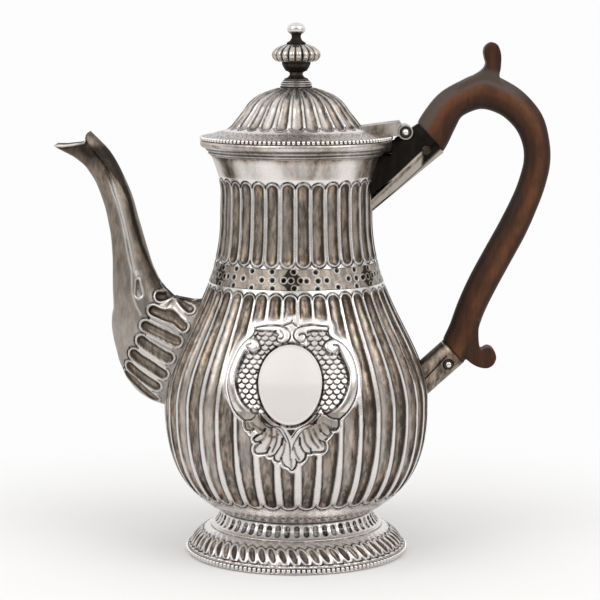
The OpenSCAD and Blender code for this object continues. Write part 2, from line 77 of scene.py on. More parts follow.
class Paint:
    """A material being written, a node or a common group of nodes at a time."""

    def __init__(self, name):
        self.material = bpy.data.materials.new(name)
        self.material.use_nodes = True
        self.nodes = self.material.node_tree.nodes
        self.nodes.clear()
        self.shared = {}

    def plug(self, socket, value):
        if isinstance(value, Value):
            self.material.node_tree.links.new(value.socket, socket)
        else:
            socket.default_value = value

    def node(self, kind, inputs, output=0, **settings):
        made = self.nodes.new(kind)
        for key, setting in settings.items():
            setattr(made, key, setting)
        for key, value in inputs.items():
            self.plug(made.inputs[key], value)
        return Value(self, made.outputs[output])

    def math(self, operation, *values):
        return self.node("ShaderNodeMath", dict(enumerate(values)), operation=operation)

    def coords(self):
        if "coords" not in self.shared:
            self.shared["coords"] = self.node("ShaderNodeTexCoord", {}, output="Object")
        return self.shared["coords"]

    def place(self):
        """x, y and z in millimetres."""
        if "place" not in self.shared:
            split = self.nodes.new("ShaderNodeSeparateXYZ")
            self.plug(split.inputs[0], self.coords())
            self.shared["place"] = [Value(self, split.outputs[i]) * (1 / MM) for i in range(3)]
        return self.shared["place"]

    def attribute(self, name):
        if name not in self.shared:
            self.shared[name] = self.node("ShaderNodeAttribute", {}, output="Fac", attribute_name=name)
        return self.shared[name]

    def ramp(self, value, start, end, low=0.0, high=1.0):
        """Goes smoothly from low at start to high at end."""
        return self.node("ShaderNodeMapRange", {"Value": value, "From Min": start, "From Max": end,
                         "To Min": low, "To Max": high}, interpolation_type="SMOOTHSTEP")

    def mix(self, share, one, other, blend="MIX"):
        made = self.nodes.new("ShaderNodeMix")
        made.data_type = "RGBA"
        made.blend_type = blend
        for index, value in ((0, share), (6, one), (7, other)):
            self.plug(made.inputs[index], value if isinstance(value, (Value, float, int)) else (*value, 1))
        return Value(self, made.outputs[2])

    def stretch(self, factors):
        """Object coordinates scaled along each axis, for a pattern that runs one way."""
        return self.node("ShaderNodeMapping", {"Vector": self.coords(), "Scale": factors})

    def noise(self, size, detail=2.0, roughness=0.5, vector=None, seed=0.0):
        """Cloudy noise about 0.5; size is the width of a cloud in millimetres."""
        return self.node("ShaderNodeTexNoise", {"Vector": vector or self.coords(), "W": seed,
                         "Scale": 1 / (size * MM), "Detail": detail, "Roughness": roughness},
                         noise_dimensions="4D")

    def cells(self, size):
        """Distance from the middle of a cell; size is its width in millimetres."""
        return self.node("ShaderNodeTexVoronoi", {"Vector": self.coords(), "Scale": 1 / (size * MM)},
            output="Distance")

    def bump(self, height, depth, normal=None):
        """Relief of a depth in millimetres, over that of another bump where one is given."""
        inputs = {"Height": height, "Distance": depth * MM, "Strength": 1.0}
        if normal:
            inputs["Normal"] = normal
        return self.node("ShaderNodeBump", inputs, output="Normal")

    def finish(self, **inputs):
        shader = self.nodes.new("ShaderNodeBsdfPrincipled")
        for key, value in inputs.items():
            name = key.replace("_", " ").title().replace("Ior", "IOR")
            self.plug(shader.inputs[name], value if isinstance(value, (Value, float, int)) else (*value, 1))
        output = self.nodes.new("ShaderNodeOutputMaterial")
        self.material.node_tree.links.new(shader.outputs[0], output.inputs["Surface"])
        return self.material


# ---------------------------------------------------------------- outlines and turned pieces

def curve(a, b, c, d, steps):
    """A cubic curve from a to d, drawn towards b and c."""
    t = np.linspace(0, 1, steps + 1)[:, None]
    a, b, c, d = (np.array(p, float) for p in (a, b, c, d))
    return (1 - t) ** 3 * a + 3 * (1 - t) ** 2 * t * b + 3 * (1 - t) * t * t * c + t ** 3 * d


def joined(*runs):
    """Runs of points end to end, without the points that meet twice."""
    points = np.vstack([np.atleast_2d(np.array(r, float)) for r in runs])
    keep = np.r_[True, np.hypot(*np.diff(points, axis=0).T) > 1e-4]
    return points[keep]


def along(points):
    """Distance along a run of points, at each of them."""
    return np.r_[0, np.cumsum(np.linalg.norm(np.diff(points, axis=0), axis=1))]


def resampled(points, runs):
    s = along(points)
    return np.column_stack([np.interp(runs, s, points[:, 0]), np.interp(runs, s, points[:, 1])])


def spaced(length, step, fine=()):
    """Places from 0 to length about a step apart, closer within each fine (start, end, step)."""
    places = [0.0]
    while places[-1] < length:
        here = places[-1]
        near = [f[2] for f in fine if f[0] <= here + 1e-6 < f[1]]
        ahead = [f[0] - here for f in fine if f[0] > here + 1e-6]
        places.append(here + min([min(near) if near else step] + ahead))
    places[-1] = length
    if len(places) > 2 and length - places[-2] < 0.3 * (places[-2] - places[-3]):
        places.pop(-2)
    return np.array(places)


def put(name, vertices, faces, slot, body, material, replaces=()):
    """A finished mesh as a piece of the object, with its vertices in millimetres."""
    mesh = bpy.data.meshes.new(name)
    mesh.from_pydata((np.asarray(vertices) * MM).tolist(), [], [tuple(map(int, f)) for f in faces])
    piece = bpy.data.objects.new(name, mesh)
    bpy.context.scene.collection.objects.link(piece)
    return dress(piece, body, material, replaces)


def dress(piece, body, material, replaces=()):
    """Gives a piece its material and its body, and hides the nodes whose place it takes."""
    coat(piece, material)
    piece.data.shade_smooth()
    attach(piece, body)
    if replaces:
        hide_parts(*replaces)
    return piece


def coat(piece, material):
    piece.data.materials.clear()
    piece.data.materials.append(material)


def select_only(piece):
    bpy.ops.object.select_all(action="DESELECT")
    piece.select_set(True)
    bpy.context.view_layer.objects.active = piece


def recalculated(piece):
    """Merges doubles and points all faces outwards."""
    select_only(piece)
    bpy.ops.object.mode_set(mode="EDIT")
    bpy.ops.mesh.select_all(action="SELECT")
    bpy.ops.mesh.remove_doubles(threshold=1e-6)
    bpy.ops.mesh.normals_make_consistent(inside=False)
    bpy.ops.object.mode_set(mode="OBJECT")


def turned(name, outline, azimuths, closed=True, loop=False):
    """An outline of (radius, height) spun round the axis, with its columns at the azimuths, which
    are in degrees from the front towards the handle. Each vertex keeps its place along the
    outline, in millimetres, in the attribute run."""
    outline = np.asarray(outline, float)
    steps = len(azimuths) if closed else len(azimuths) - 1
    angle = TURN if closed else math.radians(azimuths[-1] - azimuths[0])
    mesh = bpy.data.meshes.new(name)
    points = np.column_stack([outline[:, 0], np.zeros(len(outline)), outline[:, 1]]) * MM
    edges = [(i, i + 1) for i in range(len(outline) - 1)] + ([(len(outline) - 1, 0)] if loop else [])
    mesh.from_pydata(points.tolist(), edges, [])
    runs = mesh.attributes.new("run", "FLOAT", "POINT")
    runs.data.foreach_set("value", along(outline).astype(np.float32))
    piece = bpy.data.objects.new(name, mesh)
    bpy.context.scene.collection.objects.link(piece)
    select_only(piece)
    lathe = piece.modifiers.new("lathe", "SCREW")
    lathe.axis, lathe.angle, lathe.steps, lathe.render_steps = "Z", angle, steps, steps
    lathe.use_merge_vertices = False
    bpy.ops.object.modifier_apply(modifier="lathe")
    recalculated(piece)
    points = points_of(piece)
    turn = np.arctan2(points[:, 1], points[:, 0]) % TURN
    column = np.round(turn / (angle / steps)).astype(int)
    column = column % steps if closed else np.where(column > steps + 0.5, 0, column)
    where = np.radians(np.asarray(azimuths))[column]
    set_points(piece, from_polar(where, polar(points)[1], points[:, 2]))
    return piece


def points_of(piece):
    co = np.zeros(len(piece.data.vertices) * 3)
    piece.data.vertices.foreach_get("co", co)
    return co.reshape(-1, 3) / MM


def set_points(piece, points):
    piece.data.vertices.foreach_set("co", (points * MM).ravel())
    piece.data.update()


def values_of(piece, name):
    values = np.zeros(len(piece.data.vertices), np.float32)
    piece.data.attributes[name].data.foreach_get("value", values)
    return values.astype(float)


def set_values(piece, name, values):
    layer = piece.data.attributes.get(name) or piece.data.attributes.new(name, "FLOAT", "POINT")
    layer.data.foreach_set("value", np.asarray(values, np.float32))


def polar(points):
    """Azimuth from the front towards the handle, and radius."""
    return np.arctan2(points[:, 0], -points[:, 1]), np.hypot(points[:, 0], points[:, 1])


def from_polar(azimuth, radius, height):
    return np.column_stack([radius * np.sin(azimuth), -radius * np.cos(azimuth), height])


def outline_normals(outline):
    """Outward normals of an outline whose outside lies to the right of the way it runs."""
    step = np.gradient(outline, axis=0)
    length = np.hypot(step[:, 0], step[:, 1])
    return np.column_stack([step[:, 1], -step[:, 0]]) / length[:, None]


def smoothstep(x, start, end):
    t = np.clip((x - start) / (end - start), 0, 1)
    return t * t * (3 - 2 * t)


def bell(x, width):
    """A smooth bump: 1 where x is 0, and near 0 beyond twice the width."""
    return np.exp(-(x / width) ** 2)


def dome(x, width):
    """A round bump: 1 where x is 0, and 0 from the width on."""
    return np.maximum(0, 1 - (x / width) ** 2)


def chased(piece, outline, out):
    """Moves a turned piece's vertices out of its outline by the distances given."""
    points, runs = points_of(piece), values_of(piece, "run")
    s = along(outline)
    base_r, base_z, out_r, out_z = (np.interp(runs, s, c) for c in (*outline.T, *outline_normals(outline).T))
    set_points(piece, from_polar(polar(points)[0], base_r + out * out_r, base_z + out * out_z))


# ---------------------------------------------------------------- flutes, for meshes and for paint

@dataclasses.dataclass
class Flutes:
    """A ring of round-ended channels. Runs and depths are in millimetres."""
    count: int
    edge: float  # azimuth of a channel's edge, in degrees
    share: float  # how much of the pitch a channel takes
    low: float  # run of its lower end
    high: float
    depth: float
    lip: float = 0.2  # height of the rim round a channel
    ridge: float = 0.12  # height of the crest between two
    scallop: float = 0.55  # how far the arc past an end lies outside the pitch
    lean: float = 0.0  # slant from end to end, in degrees
    groove: float = 0.3  # depth of the arc past an end
    oval: bool = False
    stroke: float = 0.5  # half width of the arc's black
    # outline: how black the painted shadow line round a channel's rim is
    outline: float = 0.5  # how black the rim is
    seam: float = 0.0  # how black the line between two channels is
    uneven: float = 0.035
    low_only: bool = False  # black arcs at the lower ends alone
    middle: float = 0.43  # tarnish along the middle
    # side: painted shade towards a channel's sides, heavier on one side, over its tarnishing
    side: float = 0.46  # more of it towards the sides
    taper: float = 0.0  # narrowing towards the lower end

    def columns(self, extra=()):
        """Azimuths in degrees, gathered at the channels' edges."""
        e = self.share / 2
        half = [f * e for f in (0, 0.4, 0.7, 0.86, 0.94, 1.0, 1.06)]
        half += [e + f * (0.5 - e) for f in (0.55, 0.8)]
        one = sorted({-h for h in half} | set(half) | {0.5} | set(extra))
        pitch = 360 / self.count
        return np.array([self.edge + (k + 0.5 + t) * pitch for k in range(self.count) for t in one])

    def sides(self, azimuth, run, radius):
        """Distance across from a channel's middle line and past its round end, its half width, half
        the pitch, and the channel's number. No two channels are quite alike."""
        pitch = TURN / self.count
        lean = math.radians(self.lean) * ((run - self.low) / (self.high - self.low) - 0.5)
        t = (azimuth - math.radians(self.edge) - lean) / pitch
        k = np.floor(t) % self.count
        across = (t - np.floor(t) - 0.5) * pitch * radius
        wide = 0.5 * self.share * pitch * radius * (1 + self.uneven * np.sin(7.7 * k))
        wide = wide * (1 - self.taper * smoothstep(run, self.low + 42, self.low + 8))
        low = self.low + 6 * self.uneven * np.sin(12.9 * k)
        high = self.high + 6 * self.uneven * np.sin(4.1 * k + 1)
        past = np.maximum(0, np.maximum(run - (high - wide), (low + wide) - run))
        if self.oval:
            past = np.abs(run - 0.5 * (low + high)) * 2 * wide / (high - low)
        return across, past, wide, 0.5 * pitch * radius, k

    def masks(self, azimuth, run, radius):
        """Tarnishing in the channels with painted shade towards their sides, and the black of their outlines
        with a painted shadow line round the rim, from 0 to 1.
        """
        across, past, wide, half, k = self.sides(azimuth, run, radius)
        out = np.hypot(across, past)
        ends, far = past, out
        if self.oval:
            ends = np.maximum(0, np.maximum(run - (self.high - wide), (self.low + wide) - run))
            far = np.hypot(across, ends)
        channel = smoothstep(out - wide, 0.15, -0.3)
        to_end = np.minimum(self.high - run, run - self.low)
        ends_dark = smoothstep(to_end, 0.16 * (self.high - self.low), 0) * (0.75 + 0.25 * np.sin(5 * k))
        # Painted shade: a channel is darker towards its sides, more on one side than the other.
        sides_shade = smoothstep(np.abs(across + 0.2 * wide) / wide, 0.4, 1.0)
        tarnish_and_shade = channel * (self.middle + 0.09 * np.sin(9.1 * k) + 0.4 * ends_dark + self.side * sides_shade)
        crescent = smoothstep(np.abs(far - half - self.scallop), self.stroke + 0.15, 0.4 * self.stroke)
        crescent = crescent * smoothstep(ends, 0, 0.8)
        # The painted shadow line round the rim is heavier on one side of each channel.
        shaded_side = np.sign(np.sign(np.sin(3.3 * k + 0.7)) * across)
        inner = out < half + 0.2
        rim = smoothstep(np.abs(out - wide - 0.05), 0.68, 0.15) * (0.84 + 0.16 * shaded_side) * inner
        if self.low_only:
            crescent = crescent * (run < 0.5 * (self.low + self.high))
        seam = smoothstep(half - np.abs(across), 0.3, 0.0) * (past < wide)
        return tarnish_and_shade, np.clip(np.maximum(crescent, np.maximum(self.outline * rim, self.seam * seam)), 0, 1)

    def relief(self, azimuth, run, radius):
        across, past, wide, half, _ = self.sides(azimuth, run, radius)
        out = np.hypot(across, past)
        channel = dome(out, wide)
        rim = bell(out - wide - 0.35, 0.4)
        scallop = bell(out - half - self.scallop, 0.35) * (past > 0)
        inside = (out < half + self.scallop) & (out > wide)
        crest = self.ridge * bell(np.abs(across) - half, 0.5 * (half - wide)) * (past == 0)
        depth = self.depth * np.minimum(1, wide / 2.2)
        return -depth * channel ** 0.85 + self.lip * rim - self.groove * scallop + crest * inside


# ---------------------------------------------------------------- the pot's outlines

LOWER = curve((38.0, 21.5), (60.6, 32.5), (67.4, 50.5), (67.4, 77.5), 60)
UPPER = curve((67.4, 77.5), (67.4, 108.54), (38.4, 128.1), (38.4, 173), 60)
MOUTH = curve((38.4, 173), (38.4, 185), (36.4, 187.2), (43.2, 204), 30)
BODY = joined(LOWER, UPPER, MOUTH, (43.2, 211))


def run_at(outline, height):
    """Run of the place on an outline at a height; the outline must rise all the way."""
    return float(np.interp(height, outline[:, 1], along(outline)))


def strip(outline, low, high, step, fine=()):
    """The part of an outline between two runs, resampled, with its runs."""
    runs = low + spaced(high - low, step, [(a - low, b - low, s) for a, b, s in fine])
    return resampled(outline, runs), runs


NECK_LOW, NECK_HIGH = run_at(BODY, 151.4), run_at(BODY, 191.0)
BELLY_LOW, BELLY_HIGH = run_at(BODY, 33.2), run_at(BODY, 137.2)
BAND_LOW, BAND_HIGH = run_at(BODY, 139.6), run_at(BODY, 150.0)
NECK_FLUTES = Flutes(32, -0.5, 0.70, NECK_LOW, NECK_HIGH, 1.0, lip=0.22, ridge=-0.12, scallop=0.15,
    stroke=0.6, outline=0.8, seam=0.6)
BELLY_FLUTES = Flutes(40, 0.9, 0.76, BELLY_LOW, BELLY_HIGH, 1.55, lip=0.12, ridge=0.1, scallop=0.3,
    stroke=0.6, outline=0.85, taper=0.22)


def body_part(name, low, high, azimuths, chasing, step=1.5, fine=(), closed=True, replaces=(),
        material=None):
    """A strip of the body between two runs. chasing(azimuth, run, radius) gives its relief, how far it is
    darkened by tarnishing, painted shade and painted reflection (below 0 where it is satin), and its black
    lines, some of them painted shadow."""
    outline, runs = strip(BODY, low, high, step, fine)
    piece = turned(name, outline, azimuths, closed)
    set_values(piece, "run", values_of(piece, "run") + runs[0])
    azimuth, radius = polar(points_of(piece))
    relief, dirt_and_shade, line = chasing(azimuth, values_of(piece, "run"), radius)
    chased(piece, strip(BODY, 0, along(BODY)[-1], 0.25)[0], relief)
    set_values(piece, "dirt_and_shade", np.clip(dirt_and_shade, 0, 1))
    set_values(piece, "calm", np.clip(-dirt_and_shade, 0, 1))
    set_values(piece, "line", np.clip(line, 0, 1))
    dress(piece, "pot", material or marked_silver, replaces)


# ---------------------------------------------------------------- silver

CLEAN = (0.80, 0.765, 0.745)
DULL = (0.225, 0.19, 0.162)
DEEP = (0.045, 0.034, 0.027)
BLACK = (0.014, 0.012, 0.011)


def scaled(colour, factor):
    return [factor * c for c in colour]


def silver(name, dirt_and_shade=None, lines=None, tone=CLEAN, dull=DULL, rough=0.22, cloud=0.12, pebble=0.0,
           wear=1.0, metal=None, mottling=(0.36, 1.8)):
    """Worn silver. dirt and lines are functions of the paint that give how far a place is darkened, by
    tarnishing and by painted shade, and how far it is filled with black, some of it painted shadow; both may
    be left out."""
    paint = Paint(name)
    clouds = paint.noise(9, 3.0)
    fine = paint.noise(1.3, 3.0, 0.65, seed=2.0)
    specks = paint.noise(0.8, 2.0, 0.7, seed=7.0)
    pits = paint.noise(1.7, 4.0, 0.75, seed=11.0)
    colour = paint.mix(paint.ramp(clouds, 0.35, 0.75) * (cloud * 3), tone, scaled(tone, 0.78))
    calm = paint.attribute("calm")
    wear_and_sheen = (1 - calm) * wear
    colour = paint.mix(paint.ramp(specks, 0.60, 0.76) * wear_and_sheen * 0.6, colour, scaled(dull, 1.2))
    colour = paint.mix(paint.ramp(pits, 0.60, 0.78) * wear_and_sheen * 0.55, colour, scaled(dull, 0.7))
    colour = paint.mix(calm * 0.92, colour, (0.655, 0.625, 0.605))
    roughness = fine * wear_and_sheen * 0.16 + calm * 0.4 + (rough - 0.05)
    if dirt_and_shade:
        dirt_and_shade_level = dirt_and_shade(paint)
        streak = paint.noise(2.6, 4.0, 0.65, vector=paint.stretch((1, 1, 0.3)), seed=1.0)
        mottle = paint.mix(paint.ramp(streak, 0.34, 0.66), scaled(dull, mottling[0]),
            scaled(dull, mottling[1]))
        patch = paint.noise(10, 2.0, seed=5.0)
        height = paint.place()[2]
        tinted = paint.mix(paint.ramp(patch, 0.38, 0.62), (1.0, 0.89, 0.78), (0.94, 0.95, 0.90))
        low = paint.mix(paint.ramp(patch, 0.42, 0.58), (1.0, 0.90, 0.87), (0.90, 0.96, 0.97))
        tinted = paint.mix(paint.ramp(height, 96.0, 62.0), tinted, low)
        mottle = paint.mix(0.85, mottle, tinted, "MULTIPLY")
        # Tarnishing and painted shade: mottled dull where slight, deep black-brown where heavy.
        colour = paint.mix(paint.ramp(dirt_and_shade_level, 0.02, 0.6), colour, mottle)
        colour = paint.mix(paint.ramp(dirt_and_shade_level, 0.58, 1.05) * (fine * 0.5 + 0.7), colour, DEEP)
        roughness = roughness + dirt_and_shade_level * 0.16
    if lines:
        colour = paint.mix(lines(paint), colour, BLACK)
        roughness = roughness + lines(paint) * 0.4
    normal = paint.bump(fine * 0.35 + paint.noise(3.5, 2.0, seed=3.0), 0.12)
    if pebble:
        normal = paint.bump(paint.cells(0.75), pebble, normal)
    metallic = metal(paint) if metal else 1.0
    return paint.finish(base_color=colour, roughness=roughness, metallic=metallic, normal=normal)


def tarnish_and_shade(paint):
    return paint.attribute("dirt_and_shade")


def pebbled(paint):
    """Tarnishing and painted shade, with small dark pits where the flange is matted."""
    return paint.attribute("dirt_and_shade") + paint.attribute("pebble") * paint.ramp(paint.cells(1.0), 0.5, 0.3) * 0.5


def black_lines(paint):
    return paint.attribute("line")


def worn_lines(paint):
    """The black lines, thinned here and there."""
    streak = paint.noise(2.4, 3.0, 0.65, vector=paint.stretch((1, 1, 0.35)), seed=13.0)
    return paint.attribute("line") * (paint.ramp(streak, 0.32, 0.56) * 0.55 + 0.45)


plain = silver("plain silver")
polished = silver("polished silver", rough=0.18, cloud=0.06)
band_silver = silver("matted band silver", tarnish_and_shade, black_lines,
                     tone=(0.56, 0.545, 0.53), rough=0.36, pebble=0.12)


# ---------------------------------------------------------------- shared shapes

def through(points, steps):
    """A smooth run through points, with a number of steps between each two."""
    p = np.asarray(points, float)
    p = np.vstack([2 * p[0] - p[1], p, 2 * p[-1] - p[-2]])
    t = np.arange(steps)[:, None] / steps
    runs = []
    for a, b, c, d in zip(p, p[1:], p[2:], p[3:]):
        square, cube = 2 * a - 5 * b + 4 * c - d, 3 * b - a - 3 * c + d
        runs.append(0.5 * (2 * b + (c - a) * t + square * t ** 2 + cube * t ** 3))
    return np.vstack(runs + [p[-2:-1]])


def inset(points, distance):
    """An outline moved inwards, to the left of the way it runs."""
    return np.asarray(points) - distance * outline_normals(np.asarray(points, float))


def chase_outside(piece, line, line_runs, marks, inner_dirt):
    """Chases the outside of a turned shell, and leaves its inside plain."""
    points, runs = points_of(piece), values_of(piece, "run")
    outside = runs <= line_runs[-1] + 1e-3
    azimuth, radius = polar(points)
    out_r, out_z = (np.interp(runs, line_runs, n) for n in outline_normals(line).T)
    relief, layers = marks(azimuth, runs, radius, points[:, 2])
    shift = np.where(outside, relief, 0)
    set_points(piece, from_polar(azimuth, radius + shift * out_r, points[:, 2] + shift * out_z))
    for name, values in layers.items():
        inner = inner_dirt if name == "dirt_and_shade" else 0
        set_values(piece, name, np.where(outside, np.clip(values, 0, 1), inner))


def ring_of(name, one, count, radius, height):
    """Copies of a small mesh round the axis, for put. It was modelled at the origin and faces +X."""
    points = points_of(one)
    faces = np.array([list(f.vertices) + [-1] * (4 - len(f.vertices)) for f in one.data.polygons])
    bpy.data.objects.remove(one)
    vertices, polygons = [], []
    for k in range(count):
        a = TURN * k / count
        turn = np.array([[math.cos(a), math.sin(a), 0], [-math.sin(a), math.cos(a), 0], [0, 0, 1]])
        vertices.append((points + [radius, 0, height]) @ turn)
        polygons += [[i + k * len(points) for i in f if i >= 0] for f in faces]
    return name, np.vstack(vertices), polygons


def bead(size, squareness):
    """A ball with the given half sizes, from round (0) towards a box."""
    bpy.ops.mesh.primitive_uv_sphere_add(segments=12, ring_count=7, radius=MM)
    one = bpy.context.object
    points = points_of(one)
    points = np.sign(points) * np.abs(points) ** (1 - squareness)
    set_points(one, points * np.asarray(size))
    return one


def grid_faces(rows, columns):
    """Faces of a grid of vertices whose last column joins the first."""
    i, j = np.meshgrid(np.arange(rows - 1), np.arange(columns), indexing="ij")
    j2 = (j + 1) % columns
    corners = [i * columns + j, i * columns + j2, (i + 1) * columns + j2, (i + 1) * columns + j]
    return np.stack(corners, -1).reshape(-1, 4)


def capped(rows, columns):
    """Faces of a closed grid and of its two ends."""
    ends = [list(range(columns)), list(range((rows - 1) * columns, rows * columns))]
    return [list(f) for f in grid_faces(rows, columns)] + ends


def to_line(points, line):
    """Distance of each point from a run of straight pieces, and the share of the run beside it."""
    line = np.asarray(line, float)
    s = along(line)
    best, share = np.full(len(points), 1e9), np.zeros(len(points))
    for k in range(len(line) - 1):
        a, d = line[k], line[k + 1] - line[k]
        t = np.clip((points - a) @ d / (d @ d), 0, 1)
        far = np.linalg.norm(points - a - t[:, None] * d, axis=1)
        closer = far < best
        best = np.where(closer, far, best)
        share = np.where(closer, (s[k] + t * np.linalg.norm(d)) / s[-1], share)
    return best, share


marked_silver = silver("chased silver", tarnish_and_shade, worn_lines, metal=lambda p: 1 - p.attribute("calm") * 0.7)
marked_dark_silver = silver("chased dull silver", tarnish_and_shade, worn_lines, tone=(0.66, 0.625, 0.59),
    dull=(0.185, 0.163, 0.143), rough=0.3, wear=0.6, mottling=(0.62, 1.5))
smooth_silver = silver("smooth silver", tarnish_and_shade, black_lines, wear=0.25)
lid_silver = silver("chased lid silver", pebbled, worn_lines, dull=(0.225, 0.195, 0.17))
inner_silver = silver("inside silver", tone=(0.45, 0.42, 0.40), rough=0.4)
# Nearly black silver: painted shade for the core behind the lid's beads and for the solder in the socket's
# corner; it also colours the handle pins and the rings on the upper one.
dark_silver = silver("dark silver", lambda paint: 0.95, tone=(0.3, 0.28, 0.26), rough=0.4)

# ---------------------------------------------------------------- band and neck

def band_dots():
    """The band's middle run, and the azimuth in degrees, run and radius of its twelve groups of dots."""
    middle = 0.5 * (BAND_LOW + BAND_HIGH) - 0.3
    dots = []
    for k in range(12):
        a = -16 + 30 * k
        for da, dv, size in ((0, 0, 1.3), (0, 4.3, 1.25), (0, -4.1, 1.25), (7.2, 0, 1.25), (-6.8, 0, 1.25),
                (15, 4.3, 1.2), (15, -4.0, 1.2)):
            wobble = math.sin(7.3 * k + 3 * da + dv)
            dots.append((a + da + 0.7 * wobble, middle + dv + 0.25 * math.sin(11 * k + da), size))
    return middle, dots


def band_chasing(azimuth, run, radius):
    """Round punches in a matted band, and six dark stars with three more punches on each."""
    middle, dots = band_dots()
    out, line, dirt_and_shade = 0 * run, 0 * run, 0.42 + 0 * run
    for k in range(6):
        across = ((azimuth - math.radians(-3.4 + 60 * k) + math.pi) % TURN - math.pi) * radius
        turn = np.arctan2(run - middle, across)
        far = np.hypot(across, run - middle)
        edge = 5.2 + 0.9 * np.cos(4 * turn)
        star = smoothstep(far - edge, 0.3, -0.3)
        line = np.maximum(line, 0.55 * star)
        dirt_and_shade = np.maximum(dirt_and_shade, 0.95 * star)
        for da, dv in ((-4.7, 0), (6.5, 0), (0, 0)):
            dots.append((-3.4 + 60 * k + da, middle + dv, 1.15))
    for a, v, size in dots:
        across = (azimuth - math.radians(a) + math.pi) % TURN - math.pi
        far = np.hypot(across * radius, run - v)
        rim_height = 0.2 * bell(far - size - 0.35, 0.3)
        out = out - 0.75 * dome(far, size) + rim_height
        pit, rim = smoothstep(far, size + 0.05, size - 0.45), smoothstep(np.abs(far - size - 0.4), 0.4, 0.1)
        line = np.maximum(line * (1 - 0.9 * rim), 0.92 * pit)
        dirt_and_shade = dirt_and_shade * (1 - 0.8 * rim)
    for v in (BAND_LOW + 0.1, BAND_HIGH - 0.1):
        line = np.maximum(line, 0.5 * bell(run - v, 0.3))
    return out, dirt_and_shade, line


def neck_chasing(azimuth, run, radius):
    channel, line = NECK_FLUTES.masks(azimuth, run, radius)
    collar = run_at(BODY, 193.5)
    # The plain collar above the flutes is painted with streaks of reflection that change with the azimuth,
    # darkest at a few set azimuths.
    plain = 0.2 + 0.1 * np.sin(5.3 * azimuth + 0.6) + 0.07 * np.sin(13.1 * azimuth + 0.11 * run)
    for middle, half, strength in ((-0.98, 0.10, 0.5), (1.02, 0.12, 0.6), (0.18, 0.07, 0.18),
            (2.6, 0.2, 0.4), (-2.3, 0.15, 0.4)):
        plain = plain + strength * bell(azimuth - middle, half)
    # Painted shadow just under the mouth moulding.
    plain = plain + 0.35 * smoothstep(run, run_at(BODY, 201.5), run_at(BODY, 203.6))
    dirt_and_shade = channel + 0.05 + plain * smoothstep(run, collar - 0.5, collar + 0.5)
    return NECK_FLUTES.relief(azimuth, run, radius), dirt_and_shade, line


body_part("fluted_neck", BAND_HIGH, run_at(BODY, 211), NECK_FLUTES.columns(), neck_chasing,
    replaces=("body",), fine=[(BAND_HIGH, NECK_LOW + 3.5, 0.35), (NECK_HIGH - 3.5, NECK_HIGH + 2.5, 0.35)])
body_part("dotted_band", BAND_LOW, BAND_HIGH, np.arange(0, 360, 0.45), band_chasing, step=0.35,
          material=band_silver)

# ---------------------------------------------------------------- belly and its cartouche

# The middle of the cartouche, from which its points are measured: its run, and its turn from the front.
MIDDLE_RUN, CARTOUCHE_TURN = run_at(BODY, 96.6), math.radians(-2.2)
BACK_FROM, BACK_TO = 36.9, 324.9  # azimuths between which the back of the belly lies
BELLY_LIMIT = 67.38  # widest radius that the chasing may reach

CARTOUCHE = [(0, 32.3), (1.2, 30.6), (2.2, 29.7), (4, 29.6), (9, 30.3), (14, 29.6), (17.8, 29.2),
    (18.2, 27.5), (18.5, 24.7), (20.2, 22.8), (22, 21.8), (26, 19), (30.5, 13), (33, 5), (33.3, -1),
    (32, -8), (28.5, -13.5), (24.2, -17.5), (24, -20.5), (22.5, -22.6), (19.8, -22.9), (20, -24),
    (19, -25.5), (17.2, -27.4), (16.6, -28.4), (17.2, -30.5), (16.8, -32.6), (14.5, -33.7), (11, -33.5),
    (9.5, -34.2), (7.5, -34.2), (7, -36.5), (5, -38.6), (3, -38.8), (2.6, -40.3), (1.6, -41.8), (0.3, -43),
    (-1, -41.8), (-3, -40.6), (-4.4, -38.6), (-6, -38.6), (-8, -37.6), (-8.6, -35.6), (-11, -36.2),
    (-12, -34.4), (-14.5, -34.6), (-17.5, -34.7), (-18.3, -32), (-16.2, -29.5), (-15, -28.9),
    (-17.5, -28.9), (-18.8, -27.6), (-17.6, -26), (-16.2, -24.6), (-18.5, -22.4), (-20.5, -24.7),
    (-20.9, -23.3), (-22.5, -22.8), (-23.3, -20.5), (-23.6, -18.5), (-25.5, -16.6), (-29, -13), (-32, -5),
    (-32.4, 2), (-30, 10), (-25.8, 18.2), (-20.5, 23.3), (-19.2, 25.3), (-18.9, 28), (-14.5, 29.4),
    (-8, 30), (-4.5, 29.8), (-2.5, 30.6), (-0.8, 31.4)]
LEFT_OUTER = [(-20.5, 23.3), (-25.8, 18.2), (-30, 10), (-32.3, 2), (-32, -5), (-29, -13), (-22.8, -18.3)]
LEFT_INNER = [(-22.7, 15.3), (-25.5, 9.5), (-27.7, 2), (-26.8, -5), (-23.8, -10), (-19, -14), (-17.5, -14.5)]
RIGHT_OUTER = [(20, 22.7), (22, 21.8), (26, 19), (30.5, 13), (33, 5), (33.3, -1), (32, -8), (28.5, -13.5),
    (24, -17.3)]
RIGHT_INNER = [(23.7, 15), (26, 10), (28.4, 3.5), (27.8, -3), (25.5, -8.3), (21.5, -12.5), (17, -14.6)]
